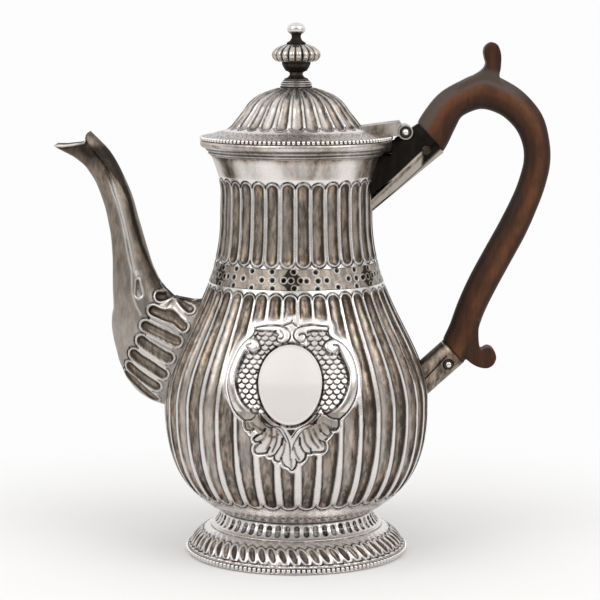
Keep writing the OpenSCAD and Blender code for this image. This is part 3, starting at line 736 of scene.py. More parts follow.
# Black strokes: their half width, then their points.
STROKES = [(0.42, LEFT_OUTER), (0.42, RIGHT_OUTER), (0.6, LEFT_INNER), (0.6, RIGHT_INNER),
    (0.45, [(-22.8, -18.3), (-19.5, -17.6), (-17.4, -15.5), (-16.9, -13.5)]),
    (0.45, [(24, -17.3), (21, -17), (18.5, -15.8), (15.8, -13.2)]), (0.35, [(-20, 19.5), (-22.3, 18),
    (-19.5, 15), (-15.7, 17), (-16.3, 21), (-18.4, 24)]), (0.5, [(19.5, 22.5), (16.3, 20.8), (15.7, 18.2),
    (17.5, 15.5), (20, 14.8)]), (0.45, [(20.3, 19), (22.5, 18.5), (23.5, 16)]),
    (0.5, [(-18.8, 28), (-14.5, 29.2), (-8, 29.8), (-4, 29), (-1.3, 26.5), (-0.8, 24), (-1.5, 22),
    (-3.3, 20.8)]), (0.3, [(-18, 27), (-16, 26.6), (-11, 26.8), (-8, 26), (-6.3, 24.6)]),
    (0.35, [(-6.3, 23), (-5, 22.8), (-4.2, 24), (-4.5, 25.5), (-5.5, 26.8)]),
    (0.4, [(-7, 24.5), (-7.2, 22.2), (-6, 20.8), (-3.5, 20.6)]), (0.35, [(-18.8, 27.5), (-19, 25.5),
    (-20.2, 23.5)]), (0.5, [(17.8, 29), (14, 29.5), (9, 30.2), (4, 29.2), (1.5, 27), (0.8, 24.5),
    (1.8, 22.2), (4, 21), (6, 21.8), (6.8, 24), (6, 25.3), (4.5, 25.4), (3.5, 24.8)]),
    (0.35, [(7.3, 26), (9.5, 27), (14.5, 27)]), (0.45, [(18.3, 28.5), (17.9, 27), (18.5, 24.5),
    (20.5, 22.5)]), (0.4, [(-4.5, 29.7), (-0.8, 31.2), (0, 32.5)]), (0.4, [(0.3, 31.2), (2.2, 29.7)]),
    (0.3, [(-15, -15), (-10, -20), (-5, -21), (-2.5, -24.5), (-0.6, -29.5), (-0.4, -37)]),
    (0.3, [(-16.8, -12), (-15.6, -16.5), (-11.5, -20.8), (-7, -21.4), (-4.4, -24), (-2.4, -28)]),
    (0.3, [(14, -12), (12.5, -15.5), (9, -19), (5.5, -20.8), (3, -22.5), (0.5, -26)]),
    (0.3, [(14.6, -15), (11, -19.8), (7, -21.8), (4.5, -24), (2, -28), (0.7, -32)]),
    (0.35, [(-23.5, -18.3), (-23.2, -20.5), (-22.3, -22.8), (-20.5, -23.2), (-18.3, -22.3)]),
    (0.45, [(-20.5, -23.2), (-20.6, -24.5)]), (0.7, [(-12.5, -21.8), (-14.5, -24.5)]),
    (0.45, [(-14.5, -24.5), (-17.5, -26), (-18.6, -27.5), (-17.5, -28.8), (-15, -28.8)]),
    (0.45, [(-15, -28.8), (-18, -32), (-17.5, -34.5), (-14.5, -34.5), (-12, -34)]),
    (0.6, [(-12, -34), (-10.4, -31)]), (0.4, [(-11, -36), (-8, -34.8), (-5.5, -31), (-4.5, -29.5)]),
    (0.8, [(-4.5, -29.5), (-4, -26.5)]), (0.4, [(-8.3, -35.3), (-8, -37.5), (-6, -38.5), (-4.6, -36.5)]),
    (0.4, [(-4.6, -36.5), (-4.2, -38.5)]), (0.35, [(-4.2, -38.5), (-3, -40.5), (-1, -41.5), (0.3, -43),
    (2, -41.5), (2.8, -38.5), (2.3, -36.8)]), (0.45, [(3, -38.5), (5, -38.5), (7, -36.5), (7.3, -34),
    (6, -32.5), (4.5, -29.5)]), (0.7, [(4.5, -29.5), (4.3, -26)]), (0.4, [(7.5, -34), (9.5, -34),
    (13, -33.5), (16, -33.5), (17, -32.5), (17, -30), (16.3, -28.5), (14.3, -27.5)]),
    (0.6, [(10, -33.6), (9.6, -31.5)]), (0.4, [(17, -27.3), (19, -25.5), (20, -24), (19.3, -22.5)]),
    (0.4, [(19.3, -22.5), (22.5, -22.8), (23.8, -20.5), (23.8, -17.7)]), (0.75, [(13.8, -20), (14.7, -23)]),
    (0.4, [(14.7, -23), (17, -25), (18, -25.3)])]
# Faint veins and hollows of the leaves.
VEINS = [[(-19.5, -19), (-17, -21), (-13, -23)], [(-12, -24), (-13.5, -27), (-15.5, -28)],
    [(-9.5, -22), (-9.5, -27), (-12, -32)], [(-7, -23), (-7, -28), (-9, -33)], [(-10.5, -25), (-8.2, -25.8),
    (-6.2, -24.4)], [(-2.8, -29), (-3.6, -33), (-5, -36.5)], [(1.6, -31), (2.4, -34), (4, -36.8)],
    [(6, -23.5), (7, -28), (9, -31)], [(8.5, -22), (10.5, -27), (13.5, -31)], [(11, -22), (13, -26),
    (15.5, -30)], [(16, -19), (19, -21.5), (21.5, -21.8)], [(-21.5, -19.5), (-20.5, -21.5), (-19, -21.8)],
    [(0.2, -37), (0.2, -41)]]
POCKETS = [((-15.2, -14.8), (-10.3, -19.8), (-14.4, -18.6)), ((12.8, -16.6), (8.8, -19.8), (12.6, -19.4)),
    ((-1.9, -22.2), (2.2, -22.2), (0.2, -25.2))]


def in_shape(u, v, shape):
    """Which points lie inside a closed shape."""
    inside = np.zeros(len(u), bool)
    for (a, b), (c, d) in zip(shape, shape[1:] + shape[:1]):
        inside ^= ((b > v) != (d > v)) & (u < (c - a) * (v - b) / (d - b + 1e-12) + a)
    return inside


def scales(u, v, side):
    """Fish scales: each is raised towards the bottom of its arc. Gives relief, and black: each arc, with
    painted shade towards each scale's bottom.
    """
    pitch, drop = 3.85, 2.45
    row = np.floor(v / drop)
    relief, black = np.zeros(len(u)), np.zeros(len(u))
    for step in (-1, 0, 1):
        here = row + step
        shift = (here % 2) * 0.5 * pitch + side
        x = (u - shift) / pitch
        x = (x - np.round(x)) * pitch
        y = v - (here + 0.5) * drop
        far = np.hypot(x, np.where(y < 0, y * 1.05, y * 0.9))
        own = (far < 1.95) & (y < 1.6)
        relief = np.where(own, 0.55 - 0.28 * (y + 1.9), relief)
        edge = smoothstep(np.abs(far - 1.85), 0.62, 0.2) * smoothstep(y, 0.8, -0.2)
        # Painted shade: each scale darkens towards its bottom.
        black = np.where(own, 0.35 * smoothstep(y, 0.2, -1.7), black)
        black = np.maximum(black, edge)
    return relief, black


def cartouche(u, v):
    """How far the cartouche covers a place, its relief, how far it is tarnished with painted shade added,
    its black, and how much of the flutes is left there."""
    count = len(u)
    near = np.vstack([u, v]).T
    outline = through(CARTOUCHE + CARTOUCHE[:1], 3)
    edge = to_line(near, outline)[0]
    inside = in_shape(u, v, [tuple(p) for p in outline[:-1]])
    depth = np.where(inside, edge, -edge)
    cover = smoothstep(depth, -0.9, -0.1)
    relief = 0.9 * smoothstep(depth, -0.2, 1.2)
    dirt_and_shade, line = np.full(count, 0.12), np.zeros(count)

    rho = np.hypot((u + 0.5) / 15.8, v / 20.2)
    disc = (rho - 1) * 17.5
    field = ((depth > 0) & (rho > 1) & (v > -15) & (v < 27))
    for side, outer, inner in ((-1, LEFT_OUTER, LEFT_INNER), (1, RIGHT_OUTER, RIGHT_INNER)):
        band = through(outer, 4), through(inner, 4)
        to_outer, to_inner = to_line(near, band[0])[0], to_line(near, band[1])[0]
        ring = [tuple(p) for p in band[0]] + [tuple(p) for p in band[1][::-1]]
        on_band = in_shape(u, v, ring)
        thick = to_outer + to_inner
        roll = np.sqrt(np.clip(1 - ((to_outer - to_inner) / thick) ** 2, 0, 1))
        relief = np.where(on_band, 0.7 + 1.15 * roll, relief)
        # Painted shade along the inner part of each scroll band, on its lower half.
        shade = smoothstep(to_inner / thick, 0.62, 0.4) * smoothstep(to_inner / thick, 0.1, 0.35)
        dirt_and_shade = np.where(on_band, 0.1 + 0.35 * shade * smoothstep(v, 4, -6), dirt_and_shade)
        field &= ~on_band
    under_curl = ((u > -19) & (u < 19)) | (v < 16)
    field &= under_curl & ~((np.abs(u) < 7.2) & (v > 18.5))
    scale_relief, scale_black = scales(u, v, np.where(u < 0, 0.3, -0.5))
    relief = np.where(field, 0.25 + scale_relief, relief)
    line = np.where(field, scale_black * 0.95, line)
    # Painted shade where each scale is raised, towards its bottom.
    dirt_and_shade = np.where(field, 0.22 + 0.25 * smoothstep(scale_relief, 0.2, 0.7), dirt_and_shade)

    for (bu, bv), size in (((-19.3, 19.0), 3.3), ((19.3, 18.3), 3.7)):
        far = np.hypot(u - bu, v - bv) / size
        ball = far < 1
        relief = np.where(ball, np.maximum(relief, 0.8 + 1.1 * np.sqrt(np.clip(1 - far ** 2, 0, 1))), relief)
        line, dirt_and_shade = np.where(ball, 0, line), np.where(ball, 0.1, dirt_and_shade)

    leaf = (v < -14) & inside & (rho > 1)
    vein = np.min([to_line(near, through(w, 3))[0] for w in VEINS], axis=0)
    relief = np.where(leaf, relief - 0.35 * bell(vein, 0.55), relief)
    hollow = smoothstep(v, -33, -20) * smoothstep(np.abs(u), 3, 9)
    dirt_and_shade = np.where(leaf, 0.15 + 0.42 * bell(vein, 0.5) + 0.25 * hollow, dirt_and_shade)
    for pocket in POCKETS:
        dark = in_shape(u, v, list(pocket))
        relief, dirt_and_shade = np.where(dark, relief - 0.3, relief), np.where(dark, 1.0, dirt_and_shade)
        line = np.where(dark, 0.25, line)

    for half, points in STROKES:
        far = to_line(near, through(points, 4) if len(points) > 2 else points)[0]
        mask = smoothstep(far, half + 0.2, 0.55 * half)
        line = np.maximum(line, 0.95 * mask * (far < 1.5))
        relief = relief - 0.45 * smoothstep(far, half + 0.45, 0)
    on_disc = disc < -0.1
    frame_edge = smoothstep(disc, -1.6, -0.5) * smoothstep(disc, -0.1, -0.5)
    relief = np.where(on_disc, 0.6 + 0.3 * (1 - np.minimum(rho, 1) ** 2) + 0.35 * frame_edge, relief)
    dirt_and_shade, line = np.where(on_disc, -smoothstep(disc, -0.1, -1.0), dirt_and_shade), np.where(on_disc, 0, line)
    groove = smoothstep(np.abs(disc - 0.35), 0.85, 0.35)
    line = np.maximum(line, groove)
    relief = relief - 0.9 * groove
    clear = smoothstep(-depth, 0.8, 2.4 + 3.5 * smoothstep(v, -16, -6))
    return cover, relief, dirt_and_shade, line, clear


def belly_chasing(azimuth, run, radius):
    relief = BELLY_FLUTES.relief(azimuth, run, radius)
    channel, line = BELLY_FLUTES.masks(azimuth, run, radius)
    dirt_and_shade = channel + 0.03
    u = (azimuth - CARTOUCHE_TURN) * radius
    v = run - MIDDLE_RUN
    close = (np.abs(u) < 37) & (v > -47) & (v < 36)
    cover, height, tarnish_and_shade, black = (np.zeros(len(u)) for _ in range(4))
    clear = np.ones(len(u))
    cover[close], height[close], tarnish_and_shade[close], black[close], clear[close] = cartouche(u[close], v[close])
    relief = relief * clear * (1 - cover) + height * cover
    dirt_and_shade = np.maximum(dirt_and_shade * clear, 0.05) * (1 - cover) + tarnish_and_shade * cover
    dots = np.hypot(((azimuth / TURN * 66) % 1 - 0.5) * TURN / 66 * radius, 1.5 * (run - run_at(BODY, 25.8)))
    line = np.maximum(line * clear * (1 - cover), black)
    low = run < BELLY_LOW - 1.5
    relief = relief - 0.95 * cover * smoothstep(radius, 63.5, 66.8)
    dirt_and_shade = np.where(low, 0.2 + 0.4 * smoothstep(run, 1.6, 0.4), dirt_and_shade)
    ring = bell(run - run_at(BODY, 23.4), 0.3)
    line = np.maximum(line, 0.85 * smoothstep(dots, 1.35, 0.85) + 0.55 * ring)
    relief = relief - 0.4 * smoothstep(dots, 1.4, 0.6)
    return np.minimum(relief, BELLY_LIMIT - radius), dirt_and_shade, line


FINE_ENDS = [(BELLY_LOW - 2, BELLY_LOW + 5, 0.4), (BELLY_HIGH - 5, BAND_LOW, 0.4)]
turn = BELLY_FLUTES.columns()
turn = np.sort((turn - BACK_FROM) % 360 + BACK_FROM)
turn = np.r_[BACK_FROM, turn[(turn > BACK_FROM + 0.1) & (turn < BACK_TO - 0.1)], BACK_TO]
body_part("belly_back", 0, BAND_LOW, turn, belly_chasing, closed=False, fine=FINE_ENDS)
body_part("belly_front", 0, BAND_LOW, np.linspace(BACK_TO - 360, BACK_FROM, 276), belly_chasing,
    closed=False, step=1.0, fine=[FINE_ENDS[0], (MIDDLE_RUN - 45, MIDDLE_RUN + 34, 0.3), FINE_ENDS[1]])

# ---------------------------------------------------------------- inside of the body

outer = strip(BODY, 0.0, run_at(BODY, 204.0), 4.0)[0]
within = inset(outer, 2.3)
within = within[(within[:, 1] > 22.4)]
lining = turned("body_lining", joined([(0.02, 21.5), (37.9, 21.5)], inset(outer, 1.75)[1:-3],
    [(43.15, 210.9), (42.4, 211.0), (42.4, 205.0)], within[::-1][3:], [(0.02, 22.3)]), np.arange(0, 360,
    5.0))
dress(lining, "pot", inner_silver)

# ---------------------------------------------------------------- foot

FOOT = joined([(55.6, 3.0), (55.6, 3.6), (55.0, 4.2), (54.5, 4.5)], curve((54.3, 4.7), (53.2, 8.2),
    (49.0, 11.4), (44.8, 13.1), 24), [(44.3, 13.4), (43.8, 13.6), (44.1, 14.0), (43.9, 14.4), (43.3, 14.6)],
    curve((43.0, 14.7), (41.3, 15.8), (39.5, 18.0), (39.1, 20.4), 16), [(38.9, 20.8), (38.7, 21.3),
    (38.6, 21.5)])
foot_line, foot_runs = strip(FOOT, 0, along(FOOT)[-1], 0.32)


def z_to_run(z):
    return float(np.interp(z, foot_line[:, 1], foot_runs))


FOOT_OVALS = Flutes(62, -4.6, 0.62, z_to_run(5.0), z_to_run(11.0), 0.9, lip=0.2, lean=-3.4, groove=0.25,
    scallop=0.25, ridge=0, oval=True)
FOOT_SLOTS = Flutes(53, -2.9, 0.62, z_to_run(15.3), z_to_run(20.5), 1.0, lip=0.12, ridge=0, groove=0.0,
    scallop=0.3)


def foot_marks(azimuth, run, radius, height):
    relief = FOOT_OVALS.relief(azimuth, run, radius) * (run < z_to_run(14)) \
        + FOOT_SLOTS.relief(azimuth, run, radius) * (run > z_to_run(14.3))
    ovals, crescents = FOOT_OVALS.masks(azimuth, run, radius)
    slots, _ = FOOT_SLOTS.masks(azimuth, run, radius)
    low, high = run < z_to_run(13.2), run > z_to_run(14.6)
    waist = bell(run - z_to_run(17.9), 0.28)
    step = bell(run - z_to_run(13.65), 0.5)
    edge = bell(run - z_to_run(21.2), 0.4) + bell(run - z_to_run(4.4), 0.3)
    slots = np.clip(slots / 0.5, 0, 1)
    dirt_and_shade = np.clip(ovals / 0.5, 0, 1) * low * 0.92 + 0.1 * high + 0.04
    line = crescents * low * 0.95 + slots * high * (0.97 - 0.55 * waist) + step * 0.85 + edge * 0.6
    return relief + 0.5 * waist * slots * high, {"dirt_and_shade": dirt_and_shade, "line": line}


wide = inset(foot_line, 1.9)
foot = turned("chased_foot", joined(foot_line, [(34.6, 21.5), (34.6, 20.6)],
    wide[(wide[:, 1] < 19) & (wide[:, 1] > 3.6)][::-1][::6], [(53.4, 3.0)]), np.arange(0, 360, 0.48),
    loop=True)
chase_outside(foot, foot_line, foot_runs, foot_marks, 0.5)
dress(foot, "pot", marked_silver, ("foot",))

rim = turned("foot_ring", joined([(52.8, 0.0), (55.7, 0.0), (56.1, 0.4), (55.6, 0.8), (55.3, 1.0),
    (55.3, 2.8), (55.9, 3.0), (56.1, 3.25), (55.8, 3.5), (55.2, 3.6), (52.8, 3.4)]), np.arange(0, 360, 2.0),
    loop=True)
rim_points = points_of(rim)
set_values(rim, "dirt_and_shade", np.full(len(rim_points), 0.2))
# Painted shade: the parts of the ring behind and above the bead wire are made black.
behind_beads = (np.hypot(*rim_points[:, :2].T) < 55.4) | (rim_points[:, 2] > 3.45)
set_values(rim, "line", np.where(behind_beads, 0.92, 0))
dress(rim, "pot", marked_silver, ("foot_rim",))
put(*ring_of("foot_beads", bead((0.95, 0.98, 0.98), 0.4), 142, 56.15, 1.92), "bead_wire", "pot", polished,
            ("foot_bead_wire",))

# ---------------------------------------------------------------- mouth moulding

moulding = turned("mouth_ring", joined([(43.25, 203.4), (43.7, 203.7), (43.75, 204.1)], curve((43.8, 204.2),
    (44.9, 204.3), (45.0, 205.0), (44.2, 205.3), 5), [(44.2, 205.7), (45.3, 205.9), (45.7, 206.2),
    (45.7, 207.1), (46.1, 207.2)], curve((46.2, 207.3), (47.4, 207.4), (48.4, 208.1), (48.5, 209.0), 6),
    [(48.6, 209.3), (48.6, 210.7), (48.3, 211.0), (43.25, 211.0)]), np.arange(0, 360, 1.5), loop=True)
points = points_of(moulding)
set_values(moulding, "dirt_and_shade", 0.22 + 0.2 * np.sin(4 * polar(points)[0] + 0.5) ** 2)
# The black grooves: their height, half width and strength.
GROOVES = ((205.5, 0.32, 1), (207.2, 0.22, 0.9), (204.1, 0.2, 0.9))
grooves = sum(share * bell(points[:, 2] - height, half) for height, half, share in GROOVES)
set_values(moulding, "line", np.clip(grooves, 0, 1))
dress(moulding, "pot", marked_silver, ("mouth_moulding",))

# ---------------------------------------------------------------- lid

LID = joined([(47.2, 211.3), (47.2, 212.8), (46.7, 213.2)], curve((45.7, 213.35), (39.2, 215.2),
    (34.1, 216.2), (31.9, 219.0), 40), through([(31.9, 219.0), (28.4, 223.3), (26.3, 226.0), (23.8, 229.4),
    (20.2, 232.5), (15.2, 235.0), (11.2, 236.4), (8.65, 237.1)], 12), (8.0, 237.2))
lid_line, lid_runs = strip(LID, 0, along(LID)[-1], 0.4)
LID_FLUTES = Flutes(26, -6.3, 0.76, run_at(LID, 217.2), run_at(LID, 237.15), 1.15, lip=0.2, ridge=0.2,
    scallop=-0.1, groove=0.3, outline=0.9, low_only=True, middle=0.24, side=0.62)


def lid_marks(azimuth, run, radius, height):
    channel, line = LID_FLUTES.masks(azimuth, run, radius)
    flange = smoothstep(height, 216.4, 215.4)
    return LID_FLUTES.relief(azimuth, run, radius), {"dirt_and_shade": channel * 0.9 + flange * 0.26 + 0.04,
                                                     "line": line * 0.85, "pebble": flange}


under = inset(lid_line, 2.0)
under = under[(under[:, 1] > 212.4) & (under[:, 0] < 40) & (under[:, 0] > 12)][::-1][::8]
lid = turned("fluted_lid", joined(lid_line, [(1.55, 237.4), (1.55, 236.6), (8.0, 236.5)], under,
    [(41.6, 212.2), (41.6, 211.0), (47.2, 211.0)]), LID_FLUTES.columns((0.42, -0.42)), loop=True)
chase_outside(lid, lid_line, lid_runs, lid_marks, 0.4)
dress(lid, "lid_group", lid_silver, ("lid",))
put(*ring_of("lid_beads", bead((0.95, 0.86, 0.95), 0.25), 126, 47.9, 212.25), "bead_wire", "lid_group",
    polished, ("lid_bead_wire",))
# A dark core behind the lid's beads, as painted shade in the gaps between them.
wire = turned("lid_bead_core", joined([(47.1, 211.5), (47.9, 211.6), (48.2, 212.25), (47.9, 212.9),
    (47.1, 213.0)]), np.arange(0, 360, 4.0), loop=True)
dress(wire, "lid_group", dark_silver)

# ---------------------------------------------------------------- finial

base_line = joined([(8.05, 237.3), (8.05, 238.4), (7.6, 238.75), (7.6, 238.9), (7.95, 239.15),
    (7.95, 239.5), (7.3, 239.85), (7.0, 240.1), (7.15, 240.4), (6.6, 240.9), (6.1, 241.1), (6.2, 241.5),
    (5.6, 242), (4.6, 242.3), (3.9, 242.9), (3.35, 243.6), (3.3, 244.4), (3.7, 245.0)])
base_line = resampled(base_line, spaced(along(base_line)[-1], 0.12))
finial_base = turned("finial_step", joined([(1.6, 237.3)], base_line, [(1.6, 245.0)]), np.arange(0, 360,
    5.0), loop=True)
z = points_of(finial_base)[:, 2]
# Painted shade: darker towards the top, black in the gaps between the rings and up the stem under the knop.
set_values(finial_base, "dirt_and_shade", 0.25 + 0.45 * smoothstep(z, 240.6, 242.4))
black = smoothstep(z, 241.1, 241.6) * (0.65 + 0.3 * smoothstep(z, 244.3, 243.4))
for middle, half in ((237.6, 0.6), (238.93, 0.24), (239.95, 0.28), (240.95, 0.24)):
    black = np.maximum(black, smoothstep(np.abs(z - middle), half + 0.12, half - 0.12))
set_values(finial_base, "line", 0.93 * black)
dress(finial_base, "lid_group", smooth_silver, ("finial_base",))

KNOP = joined([(4.4, 245.4), (5.6, 245.9), (5.6, 246.2), (6.3, 247.2), (7.0, 248.6), (7.3, 249.5),
    (7.1, 250.0), (8.2, 250.3)], curve((8.67, 250.3), (12.5, 250.6), (13.6, 253.9), (11.86, 255.7), 14),
    curve((11.86, 255.7), (10.2, 257.7), (7.0, 258.8), (4.97, 259.0), 14))
knop_line = strip(KNOP, 0, along(KNOP)[-1], 0.42)[0]
knop = turned("lobed_knop", joined([(1.6, 245.0), (3.7, 245.0)], knop_line, [(1.6, 259.3)]),
    np.arange(0, 360, 1.5), loop=True)
points = points_of(knop)
azimuth, radius = polar(points)
z = points[:, 2]
lobe = np.abs(((azimuth / TURN * 20 + 0.12) % 1) - 0.5) * 2
share = smoothstep(z, 250.1, 251.2) * smoothstep(z, 259.1, 258.0) * (radius > 5)
set_points(knop, from_polar(azimuth, radius * (1 - share * (0.10 * lobe ** 3 + 0.02)), z))
# Painted shade: dark and black below the knop's bulge and at its top under the bud. It also darkens towards
# the lobes' edges, with black between them.
knop_dirt_and_shade = 0.28 + 0.6 * smoothstep(z, 250.2, 249.6) + share * 0.5 * smoothstep(lobe, 0.5, 0.9)
set_values(knop, "dirt_and_shade", np.clip(knop_dirt_and_shade, 0, 1))
under_bulge_shade = smoothstep(z, 250.7, 250.0) * (0.95 - 0.4 * bell(z - 248.6, 0.9))
under_bud_shade = 0.8 * smoothstep(z, 258.4, 259.0)
set_values(knop, "line", np.clip(share * smoothstep(lobe, 0.76, 0.95) + under_bulge_shade + under_bud_shade, 0, 1))
dress(knop, "lid_group", smooth_silver, ("finial_knop",))

bud = turned("finial_ball", joined([(1.6, 259.1), (4.7, 259.1), (4.9, 259.5), (4.6, 259.9), (3.9, 260.3),
    (3.0, 260.9), (2.35, 262.2), (2.3, 263.2), (2.7, 264.0), (3.0, 264.3)], curve((3.0, 264.3),
    (5.3, 265.0), (5.9, 269.3), (0.02, 269.98), 18)), np.arange(0, 360, 5.0))
z = points_of(bud)[:, 2]
# Painted shade: the ball darkens towards its bottom, and its neck below is black.
set_values(bud, "dirt_and_shade", 0.08 + 0.5 * smoothstep(z, 266.2, 264.2))
set_values(bud, "line", np.clip(0.93 * smoothstep(z, 265.0, 264.0), 0, 1))
dress(bud, "lid_group", smooth_silver, ("finial_bud",))

# ---------------------------------------------------------------- spout

BELLY_R, BELLY_Z = 67.4, 77.5
SPOUT_BASE_W, SPOUT_LIP_W = 14.5, 6.4
# Out from the belly, up, half depth, and how much of the way from the lip's half width to the base's.
SPOUT = [(-32, 23, 28.5, 1), (-14, 24, 28.5, 1), (-2.5, 29.3, 29, 0.98), (8.6, 40.5, 20.6, 0.86),
         (12.4, 52, 14.8, 0.7), (15.4, 64.8, 11.4, 0.54), (17.4, 77, 9.4, 0.4), (20.3, 91.5, 8.2, 0.27),
         (23.8, 105.3, 7.7, 0.17), (31.2, 121.2, 7.5, 0.07), (39, 129.8, 7.7, 0.02), (50, 138.6, 8.8, 0)]
spout_path = through([(*p, round(SPOUT_LIP_W + (SPOUT_BASE_W - SPOUT_LIP_W) * w, 2)) for *p, w in SPOUT], 44)
spout_angles = np.radians(np.arange(0, 360, 1.5))
TIP_X, LIP_Z = -122.8, 208.9


def spout_surface():
    """Rows of points and outward normals over the whole path, from inside the body past the lip."""
    way = np.gradient(spout_path[:, :2], axis=0)
    way /= np.linalg.norm(way, axis=1)[:, None]
    c, s = np.cos(spout_angles), np.sin(spout_angles)
    depth, width = spout_path[:, 2:3], spout_path[:, 3:4]
    u, y = depth * c, -width * s
    points = np.stack([-BELLY_R - spout_path[:, 0:1] - u * way[:, 1:2], y,
                       BELLY_Z + spout_path[:, 1:2] - u * way[:, 0:1]], -1)
    nu, ny = c / depth, -s / width
    length = np.hypot(nu, ny)
    nu, ny = nu / length, ny / length
    normals = np.stack([-nu * way[:, 1:2], ny + 0 * nu, -nu * way[:, 0:1]], -1)
    return points, normals


def lip_height(out):
    """Height of the spout's top edge at a distance from its tip."""
    return LIP_Z + np.interp(out, [0, 6.5, 16.4, 17.6, 19.6, 22.5], [-0.8, -0.4, 1.4, 5.8, 7.0, 40])


surface, surface_normals = spout_surface()
rows = np.arange(len(surface))
over_lip = surface[:, :, 2] - lip_height(surface[:, :, 0] - TIP_X)
body_radius = np.interp(surface[:, :, 2], BODY[:, 1], BODY[:, 0])
in_body = np.hypot(surface[:, :, 0], surface[:, :, 1]) < body_radius - 1.2
first = np.array([rows[in_body[:, j] & (rows < 250)].max() for j in range(len(spout_angles))]).astype(float)
last = []
for j in range(len(spout_angles)):
    i = int(np.argmax((over_lip[:, j] > 0) & (rows > 250)))
    a, b = over_lip[i - 1, j], over_lip[i, j]
    last.append(i - 1 + a / (a - b))
last = np.array(last)
spread = np.r_[np.linspace(0, 0.93, 262), np.linspace(0.9335, 1, 58)][:, None]
where = first + (last - first) * spread
low = np.clip(where.astype(int), 0, len(surface) - 2)
part = (where - low)[:, :, None]
column = np.arange(len(spout_angles))[None, :]
outer_skin = surface[low, column] * (1 - part) + surface[low + 1, column] * part
skin_normals = surface_normals[low, column] * (1 - part) + surface_normals[low + 1, column] * part
inner_skin = (outer_skin - 1.6 * skin_normals)[::-1][::9]


def on_spout(places):
    """Points of the near side of the spout that lie at the given places (x, z) in a side view."""
    near = surface[:, :len(spout_angles) // 2].reshape(-1, 3)
    return np.array([near[np.argmin(np.hypot(near[:, 0] - x, near[:, 2] - z))] for x, z in places])


FLUTE_LINES = [((1.2, 60.2), (-15.5, 52.0)), ((3.7, 55.3), (-15.3, 47.9)), ((6.6, 49.3), (-12.3, 39.2)),
    ((10.8, 41.6), (-9.0, 31.5)), ((13.1, 34.1), (-4.7, 23.2)), ((16.7, 27.0), (-1.4, 14.4)), ((18.9, 20.2),
    (2.0, 7.6)), ((20.4, 15.8), (3.8, 0.9))]
CREASE = [(-105.7, 210.3), (-102.2, 206.0), (-96.9, 199.5), (-93.2, 193.0), (-90.9, 186.0), (-88.5, 178.5),
    (-86.4, 170.0), (-84.4, 161.5), (-82.8, 153.2), (-81.3, 145.6), (-80.2, 143.4)]
SIDE_CREASE = [(-95.4, 194.9), (-92.8, 186.4), (-90.2, 178.7), (-88.3, 172.1), (-86.4, 163.0),
    (-84.6, 152.5), (-83.2, 145.6), (-83.0, 140.1), (-82.9, 134.2), (-80.5, 127.5), (-78.4, 123.6)]
# Where the black of the spout's back starts and ends, from its front edge (0) to its back edge (1).
BACK_HEIGHTS = (128, 138, 147, 159, 169, 181, 190, 198, 206)
BACK_START = (0.97, 0.955, 0.925, 0.83, 0.80, 0.83, 0.78, 0.63, 0.60)
BACK_END = (1.02, 1.0, 0.985, 0.93, 0.92, 0.95, 0.97, 1.02, 1.02)


